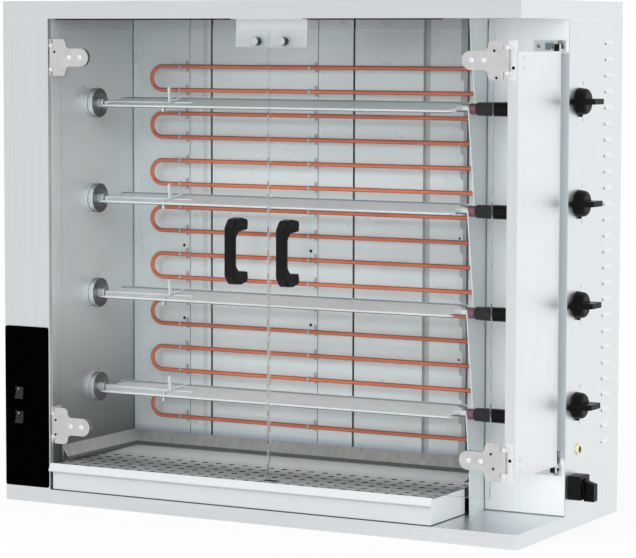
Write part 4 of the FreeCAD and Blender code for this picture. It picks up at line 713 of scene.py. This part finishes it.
def recessed_head(radius, height, turn):
    """Mesh of a domed screw head with a cross recess, standing on z = 0."""
    head = bmesh.new()
    steps = 6
    sunk = 0.3 * MM
    dome = [(radius * math.cos(math.pi / 2 * k / steps), height * math.sin(math.pi / 2 * k / steps))
            for k in range(steps)]
    turned(head, [(0.0, -sunk), (radius, -sunk), *dome, (0.0, height)], Matrix.Identity(4), 24)
    bmesh.ops.remove_doubles(head, verts=head.verts, dist=1e-6)
    bmesh.ops.recalc_face_normals(head, faces=head.faces)
    head_data = bpy.data.meshes.new("head")
    head.to_mesh(head_data)
    head.free()
    cutter = bmesh.new()
    arm = radius * 0.58
    half = radius * 0.11
    depth = height * 0.55
    block(cutter, Vector((-arm, -half, height - depth)), Vector((arm, half, height * 2)))
    block(cutter, Vector((-half, -arm, height - depth)), Vector((half, arm, height * 2)))
    bmesh.ops.rotate(cutter, verts=cutter.verts, matrix=Matrix.Rotation(turn, 3, "Z"))
    cutter_data = bpy.data.meshes.new("cutter")
    cutter.to_mesh(cutter_data)
    cutter.free()
    collection = bpy.context.scene.collection
    blank = bpy.data.objects.new("head_blank", head_data)
    tool = bpy.data.objects.new("head_cutter", cutter_data)
    collection.objects.link(blank)
    collection.objects.link(tool)
    cut = blank.modifiers.new("recess", "BOOLEAN")
    cut.operation = "DIFFERENCE"
    cut.solver = "EXACT"
    cut.use_self = True
    cut.object = tool
    bpy.context.view_layer.update()
    result = bpy.data.meshes.new_from_object(blank.evaluated_get(bpy.context.evaluated_depsgraph_get()))
    for item in (blank, tool):
        bpy.data.objects.remove(item)
    return result


def screws(name, body, points, facing, radius, material, height=None):
    """One object with a cross-recessed screw head at each point."""
    mesh = bmesh.new()
    height = height or radius * 0.55
    for number, point in enumerate(points):
        head = recessed_head(radius, height, 0.4 + 0.9 * number)
        head.transform(Matrix.Translation(point) @ FACING[facing])
        mesh.from_mesh(head)
        bpy.data.meshes.remove(head)
    return to_object(mesh, name, body, material)


# Operators

class ROTISSERIE_OT_sheet_metal(bpy.types.Operator):
    """Finish the casing, the chamber's sheets and the tray"""
    bl_idname = "rotisserie.sheet_metal"
    bl_label = "Sheet Metal"

    def execute(self, context):
        c = colours()
        finish(["left_casing", "rear_cover"], brushed_sheet("Satin stainless column", c.cabinet_steel, "Z"))
        finish(["right_front_panel"],
               brushed_sheet("Hazy stainless bay sheet", c.bay_steel, "Z", 0.4, 0.7, True, bay_painted_shade, 0.35))
        finish(["base_pan", "hood"], brushed_sheet("Satin stainless base and hood", c.cabinet_steel, "X"))
        finish(["catch_bracket"],
               brushed_sheet("Hazy stainless bracket", c.cabinet_steel, "X", 0.6, 0.7, metallic=0.85))
        finish(["right_side_panel"],
               brushed_sheet("Satin stainless side", c.cabinet_steel, "Z", marks_and_painted_light=louvre_painted_highlight))
        finish(["door_post"], brushed_sheet("Satin stainless post", c.post_steel, "Z"))
        finish(["back_reflectors"],
               reflector_sheet("Bright reflector sheet", c.reflector, 0.3, reflector_painted_shade_and_tint, 0.15))
        finish(["spit_rack_plate"], reflector_sheet("Rack wall sheet", c.rack_steel, 0.36, None, 0.35))
        finish(["left_cavity_wall"],
               reflector_sheet("Dulled chamber wall", c.wall_steel, 0.42, wall_lower_darkening, 0.5))
        # Painted shade: the ceiling is painted nearly black because it gets no light.
        finish(["cavity_ceiling"], shade_black_sheet("Shade-black ceiling sheet", c.shade_black))
        finish(["grease_skirts"], fat_dulled_sheet("Fat-dulled skirt", c.skirt_steel))
        finish(["drip_tray"], brushed_sheet("Satin stainless tray", c.tray_steel, "X", 0.34, 0.7,
                                            marks_and_painted_light=tray_fat_and_painted_shade, metallic=0.35))
        finish(["tray_insert"], brushed_sheet("Perforated stainless insert", c.insert_steel, "X", 0.4, 0.6,
                                              False, insert_painted_shade, 0.1))
        return {"FINISHED"}


class ROTISSERIE_OT_heating(bpy.types.Operator):
    """Finish the heating elements, their clips and their ends"""
    bl_idname = "rotisserie.heating"
    bl_label = "Heating Elements"

    def execute(self, context):
        c = colours()
        finish(numbered("heating_element"), element_sheath("Oxidised element sheath", c.element))
        finish(["element_supports"],
               plated_steel("Heat-dulled clip steel", c.comb_steel, 0.4, comb_stain, 0.6))
        finish(["element_terminals"], plated_steel("Terminal steel", c.plated, 0.4))
        return {"FINISHED"}


class ROTISSERIE_OT_spits(bpy.types.Operator):
    """Finish the spits, bushes, grips and drive sockets"""
    bl_idname = "rotisserie.spits"
    bl_label = "Spits and Sockets"

    def execute(self, context):
        c = colours()
        finish(numbered("spit_blade"),
               polished_steel("Polished spit steel", shaded(c.spit_steel, 0.88), 0.34, "X", 0.25, web_painted_shade))
        finish(numbered("spit_bush"), sintered_bronze("Sintered bush bronze", c.bush))
        finish(numbered("spit_handle"), moulded_plastic("Phenolic grip", c.black, 0.4, 1.0))
        for node in numbered("drive_socket"):
            finish([node], turned_steel(f"Turned socket steel {node[-1]}", c.spit_steel, middle(node)))
        finish(["socket_bearings"], polished_steel("Polished boss steel", c.spit_steel, 0.22, None, 0.8))
        finish(["gear_motors"], die_cast_alloy("Cast gearbox alloy", c.plated))
        return {"FINISHED"}


class ROTISSERIE_OT_doors(bpy.types.Operator):
    """Finish the glass doors, hinges, handles and catches"""
    bl_idname = "rotisserie.doors"
    bl_label = "Doors"

    def execute(self, context):
        c = colours()
        finish(["left_glass", "right_glass"],
               toughened_glass("Toughened door glass", c.glass, c.glass_edge))
        finish(["left_hinge_arms", "right_hinge_arms"], die_cast_alloy("Blasted hinge alloy", c.hinge))
        finish(["left_hinge_leaves", "right_hinge_leaves"],
               plated_steel("Zinc-plated steel", c.post_steel, metallic=0.88))
        finish(["post_pivots"], plated_steel("Pivot bracket steel", c.plated, 0.35, pivot_stain))
        finish(["catch_magnets"], plated_steel("Magnet pot steel", c.plated, 0.25, magnet_stain))
        finish(["left_door_handle", "right_door_handle"],
               moulded_plastic("Phenolic door handle", c.black, 0.38, 1.0))
        return {"FINISHED"}


class ROTISSERIE_OT_controls(bpy.types.Operator):
    """Finish the fascia, rockers, knobs, lamp, switch and gland"""
    bl_idname = "rotisserie.controls"
    bl_label = "Controls"

    def execute(self, context):
        c = colours()
        finish(["control_fascia"],
               moulded_plastic("Grained fascia plastic", c.fascia_black, 0.5, 1.2, shine=0.0))
        finish(["rocker_upper", "rocker_lower"],
               moulded_plastic("Glossy rocker plastic", c.rocker_black, 0.25, 2.0, 0.02, 0.3))
        finish(numbered("knob") + ["main_switch_knob"],
               moulded_plastic("Satin knob plastic", c.black, 0.36, 1.0, shine=0.12))
        finish(["switch_bodies"], moulded_plastic("Switch case plastic", c.black, 0.44, 1.0))
        finish(["cable_gland"], moulded_plastic("Nylon gland plastic", c.black, 0.5, 0.6))
        finish(["pilot_lamp"],
               lamp_lens("Amber lamp acrylic", c.lamp, c.lamp_ring, middle("pilot_lamp")))
        return {"FINISHED"}


class ROTISSERIE_OT_hinge_screws(bpy.types.Operator):
    """Add the domed screws of the hinge plates"""
    bl_idname = "rotisserie.hinge_screws"
    bl_label = "Hinge Screws"

    def execute(self, context):
        steel = plated_steel("Bright screw steel", colours().post_steel, 0.22, metallic=0.8)
        inset = 36 * MM
        reaches = (19 * MM, 44 * MM)
        for side, tip, way in (("left", 1, -1.0), ("right", 0, 1.0)):
            low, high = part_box(f"{side}_hinge_arms")
            edge = (low, high)[tip].x
            levels = (low.z + inset, high.z - inset)
            points = [Vector((edge + way * reach, low.y, level)) for level in levels for reach in reaches]
            screws(f"{side}_hinge_screws", f"{side}_door", points, "-Y", sizes().hinge_screw, steel)
        return {"FINISHED"}


class ROTISSERIE_OT_post_screws(bpy.types.Operator):
    """Add the screws on the side of the door post"""
    bl_idname = "rotisserie.post_screws"
    bl_label = "Post Screws"

    def execute(self, context):
        steel = plated_steel("Post screw steel", colours().plated, 0.3)
        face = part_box("door_post")[1].x
        levels = (895.0, 875.5, 160.0, 140.5)
        points = [Vector((face, *place(0, 33, level).yz)) for level in levels]
        screws("post_screws", "door_post", points, "+X", sizes().post_screw, steel, 1.2 * MM)
        return {"FINISHED"}


class ROTISSERIE_OT_panel_screws(bpy.types.Operator):
    """Add the screws of the back sheet"""
    bl_idname = "rotisserie.panel_screws"
    bl_label = "Panel Screws"

    def execute(self, context):
        steel = plated_steel("Panel screw steel", colours().plated, 0.3)
        low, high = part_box("rear_cover")
        face = low.y + SHEET
        inset = 12 * MM
        columns = [low.x + inset + (high.x - low.x - 2 * inset) * k / 4 for k in range(5)]
        rows = [low.z + inset, high.z - inset]
        points = [Vector((x, face, z)) for x in columns for z in rows]
        points += [Vector((x, face, (low.z + high.z) / 2)) for x in (columns[0], columns[-1])]
        screws("rear_cover_screws", "cabinet", points, "+Y", sizes().panel_screw, steel)
        return {"FINISHED"}


class ROTISSERIE_OT_set_screws(bpy.types.Operator):
    """Add the small dark screws, the fittings of the upper pivot and the dots on the rockers"""
    bl_idname = "rotisserie.set_screws"
    bl_label = "Set Screws"

    def execute(self, context):
        dark = plated_steel("Oiled screw steel", colours().hook, 0.4)
        # Name, body, front face, radius and height of the heads, then their places across and up
        groups = (
            ("left_hinge_set_screws", "left_door", 1.0, 2.6, 0.15,
             ((122.4, 900.0), (120.3, 169.0), (120.3, 140.0))),
            ("right_hinge_set_screws", "right_door", 1.0, 2.6, 0.15,
             ((1076.6, 906.5), (1081.2, 857.5), (1076.0, 172.7), (1081.2, 146.0))),
            ("flange_screws", "door_post", 10.0, 3.2, 0.8, ((1110.5, 875.5), (1110.5, 161.5))),
            ("clip_screws", "cabinet", 312.9, sizes().clip_screw / MM, 0.8,
             ((231.0, 502.5), (231.0, 352.0), (529.0, 502.0), (529.0, 352.5))),
            ("comb_screws", "cabinet", 312.9, 2.4, 0.8, ((860.0, 539.7), (860.0, 301.3))),
        )
        for name, body, y, radius, height, spots in groups:
            points = [place(x, y, z) for x, z in spots]
            screws(name, body, points, "-Y", radius * MM, dark, height * MM)
        self.pivot_fittings()
        self.rocker_dots()
        return {"FINISHED"}

    def pivot_fittings(self):
        """Adjusting nut and fixing screw on the upper pivot plate."""
        face = 214.5
        mesh = bmesh.new()
        block(mesh, place(1083.0, face - 5.0, 907.5), place(1098.0, face, 920.5), 0.8 * MM)
        to_object(mesh, "pivot_nut", "cabinet", plated_steel("Pivot nut steel", colours().nut, 0.4))
        screws("pivot_plate_screw", "cabinet", [place(1068.0, face, 914.0)], "-Y", 4.0 * MM,
               plated_steel("Pivot screw steel", colours().pivot_screw, 0.3))

    def rocker_dots(self):
        """Small raised dot on each rocker: grey on the upper one and green on the lower one."""
        radius = 1.5 * MM
        for node, colour in (("rocker_upper", colours().upper_dot), ("rocker_lower", colours().lower_dot)):
            low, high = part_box(node)
            mesh = bmesh.new()
            spot = Vector(((low.x + high.x) / 2, low.y + 1.5 * MM, low.z + (high.z - low.z) * 0.84))
            turned(mesh, [(0.0, -radius), (radius, -radius), (radius, 0.6 * MM), (0.0, 1.0 * MM)],
                   Matrix.Translation(spot) @ FACING["-Y"], 16)
            to_object(mesh, f"{node}_dot", node.replace("rocker_", "") + "_rocker",
                      printed_ink(f"Dot ink {node}", colour))


class ROTISSERIE_OT_dial_marks(bpy.types.Operator):
    """Add the plain ticks printed above and below each knob"""
    bl_idname = "rotisserie.dial_marks"
    bl_label = "Dial Marks"

    def execute(self, context):
        ink = printed_ink("Grey printing ink", colours().print_grey)
        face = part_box("right_side_panel")[0].x + SHEET
        y = place(0, 283, 0).y
        half = sizes().tick_width / 2
        length = sizes().tick_length
        gap = 4 * MM
        pointer = 3.2 * MM
        mesh = bmesh.new()
        for node in numbered("knob"):
            low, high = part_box(node)
            for start in (high.z + gap, low.z + pointer - gap - length):
                block(mesh, Vector((face, y - half, start)),
                      Vector((face + 0.15 * MM, y + half, start + length)))
        to_object(mesh, "dial_ticks", "cabinet", ink)
        return {"FINISHED"}


class ROTISSERIE_OT_studio(bpy.types.Operator):
    """Set up the floor, the lights and the camera at the photograph's angle"""
    bl_idname = "rotisserie.studio"
    bl_label = "Studio"

    def execute(self, context):
        self.floor()
        self.world()
        self.lights()
        self.camera()
        context.scene.view_settings.view_transform = "Standard"
        return {"FINISHED"}

    def floor(self):
        """Large white floor that fades into the white background away from the object."""
        mesh = bmesh.new()
        bmesh.ops.create_grid(mesh, x_segments=1, y_segments=1, size=60.0)
        data = bpy.data.meshes.new("floor")
        mesh.to_mesh(data)
        mesh.free()
        floor = bpy.data.objects.new("floor", data)
        bpy.context.scene.collection.objects.link(floor)
        material, tree, shader = new_material("Matt white paper", Roughness=0.9)
        paper = pattern(tree, 30 * MM, 3.0)
        tint = tones(tree, paper, with_alpha(colours().paper_low), with_alpha(colours().paper_high))
        tree.links.new(tint, shader.inputs["Base Color"])
        coordinates = add(tree, "ShaderNodeTexCoord")
        reach = add(tree, "ShaderNodeVectorMath", {"operation": "LENGTH"},
                    {0: coordinates.outputs["Object"]})
        far = spread(tree, reach.outputs["Value"], 0.87, 1.0, 0.7, 2.0)  # fades from 0.7 to 2 m away
        white = add(tree, "ShaderNodeEmission",
                    links={"Strength": self.room_level(tree, coordinates.outputs["Object"])})
        fade = calculated(tree, "MULTIPLY", seen_directly(tree), far)
        both = add(tree, "ShaderNodeMixShader", links={0: fade, 1: shader.outputs["BSDF"],
                                                       2: white.outputs["Emission"]})
        output = [n for n in tree.nodes if n.type == "OUTPUT_MATERIAL"][0]
        tree.links.new(both.outputs["Shader"], output.inputs["Surface"])
        data.materials.append(material)

    def room_level(self, tree, direction):
        """Brightness of the room as steel mirrors it: dimmer to the front left than to the back right."""
        unit = add(tree, "ShaderNodeVectorMath", {"operation": "NORMALIZE"}, {0: direction})
        along = add(tree, "ShaderNodeVectorMath", {"operation": "DOT_PRODUCT", 1: BRIGHT_SIDE},
                    {0: unit.outputs["Vector"]})
        level = spread(tree, along.outputs["Value"], *ROOM_LEVELS, -0.9, 0.5)
        path = add(tree, "ShaderNodeLightPath")
        return add(tree, "ShaderNodeMix", {"data_type": "FLOAT", 3: 1.0},
                   {0: path.outputs["Is Camera Ray"], 2: level}).outputs[0]

    def world(self):
        """White background for what is seen, and a softer level for what lights the object."""
        world = bpy.data.worlds.new("Studio")
        bpy.context.scene.world = world
        world.use_nodes = True
        tree = world.node_tree
        tree.nodes.clear()
        light = add(tree, "ShaderNodeBackground", {"Color": (0.97, 0.985, 1.0, 1.0), "Strength": 0.7})
        coordinates = add(tree, "ShaderNodeTexCoord")
        white = add(tree, "ShaderNodeBackground", {"Color": (1.0, 1.0, 1.0, 1.0)},
                    {"Strength": self.room_level(tree, coordinates.outputs["Generated"])})
        both = add(tree, "ShaderNodeMixShader", links={0: seen_directly(tree),
                                                       1: light.outputs["Background"],
                                                       2: white.outputs["Background"]})
        add(tree, "ShaderNodeOutputWorld", links={"Surface": both.outputs["Shader"]})

    def lights(self):
        """Two large soft panels in front of the object and one above it, which steel doesn't mirror."""
        for name, spot, size, power in PANELS:
            data = bpy.data.lights.new(name, "AREA")
            data.shape = "SQUARE"
            data.size = size
            data.energy = power
            panel = bpy.data.objects.new(name, data)
            panel.visible_glossy = False
            panel.visible_transmission = False
            panel.location = spot
            panel.rotation_euler = (AIM - Vector(spot)).to_track_quat("-Z", "Y").to_euler()
            bpy.context.scene.collection.objects.link(panel)

    def camera(self):
        """Long lens far to the right of the front, a little above the middle and tilted down."""
        yaw, pitch, roll = (math.radians(angle) for angle in CAMERA_TURN)
        image_width, focal_pixels, sensor_width = 636.0, 2730.4, 36.0
        data = bpy.data.cameras.new("camera")
        data.sensor_fit = "HORIZONTAL"
        data.sensor_width = sensor_width
        data.lens = sensor_width * focal_pixels / image_width
        data.clip_end = 200.0
        camera = bpy.data.objects.new("camera", data)
        turn = (Matrix.Rotation(yaw, 4, "Z") @ Matrix.Rotation(math.pi / 2 - pitch, 4, "X")
                @ Matrix.Rotation(roll, 4, "Z"))
        camera.matrix_world = Matrix.Translation(place(*CAMERA_PLACE)) @ turn
        bpy.context.scene.collection.objects.link(camera)
        bpy.context.scene.camera = camera


OPERATORS = (
    ROTISSERIE_OT_sheet_metal, ROTISSERIE_OT_heating, ROTISSERIE_OT_spits, ROTISSERIE_OT_doors,
    ROTISSERIE_OT_controls, ROTISSERIE_OT_hinge_screws, ROTISSERIE_OT_post_screws,
    ROTISSERIE_OT_panel_screws, ROTISSERIE_OT_set_screws, ROTISSERIE_OT_dial_marks,
    ROTISSERIE_OT_studio,
)


class ROTISSERIE_PT_panel(bpy.types.Panel):
    """Lists the steps and the values they use"""
    bl_idname = "ROTISSERIE_PT_panel"
    bl_label = "Rotisserie"
    bl_space_type = "VIEW_3D"
    bl_region_type = "UI"
    bl_category = "Rotisserie"

    def draw(self, context):
        for operator in OPERATORS:
            self.layout.operator(operator.bl_idname)
        for group in (context.scene.rotisserie_sizes, context.scene.rotisserie_colours):
            box = self.layout.box()
            for name in group.__annotations__:
                box.prop(group, name)


CLASSES = (RotisserieSizes, RotisserieColours, *OPERATORS, ROTISSERIE_PT_panel)


def register():
    for item in CLASSES:
        bpy.utils.register_class(item)
    bpy.types.Scene.rotisserie_sizes = PointerProperty(type=RotisserieSizes)
    bpy.types.Scene.rotisserie_colours = PointerProperty(type=RotisserieColours)


def unregister():
    del bpy.types.Scene.rotisserie_colours
    del bpy.types.Scene.rotisserie_sizes
    for item in reversed(CLASSES):
        bpy.utils.unregister_class(item)


def main():
    register()
    for operator in OPERATORS:
        group, name = operator.bl_idname.split(".")
        getattr(getattr(bpy.ops, group), name)()


if __name__ == "__main__":
    main()
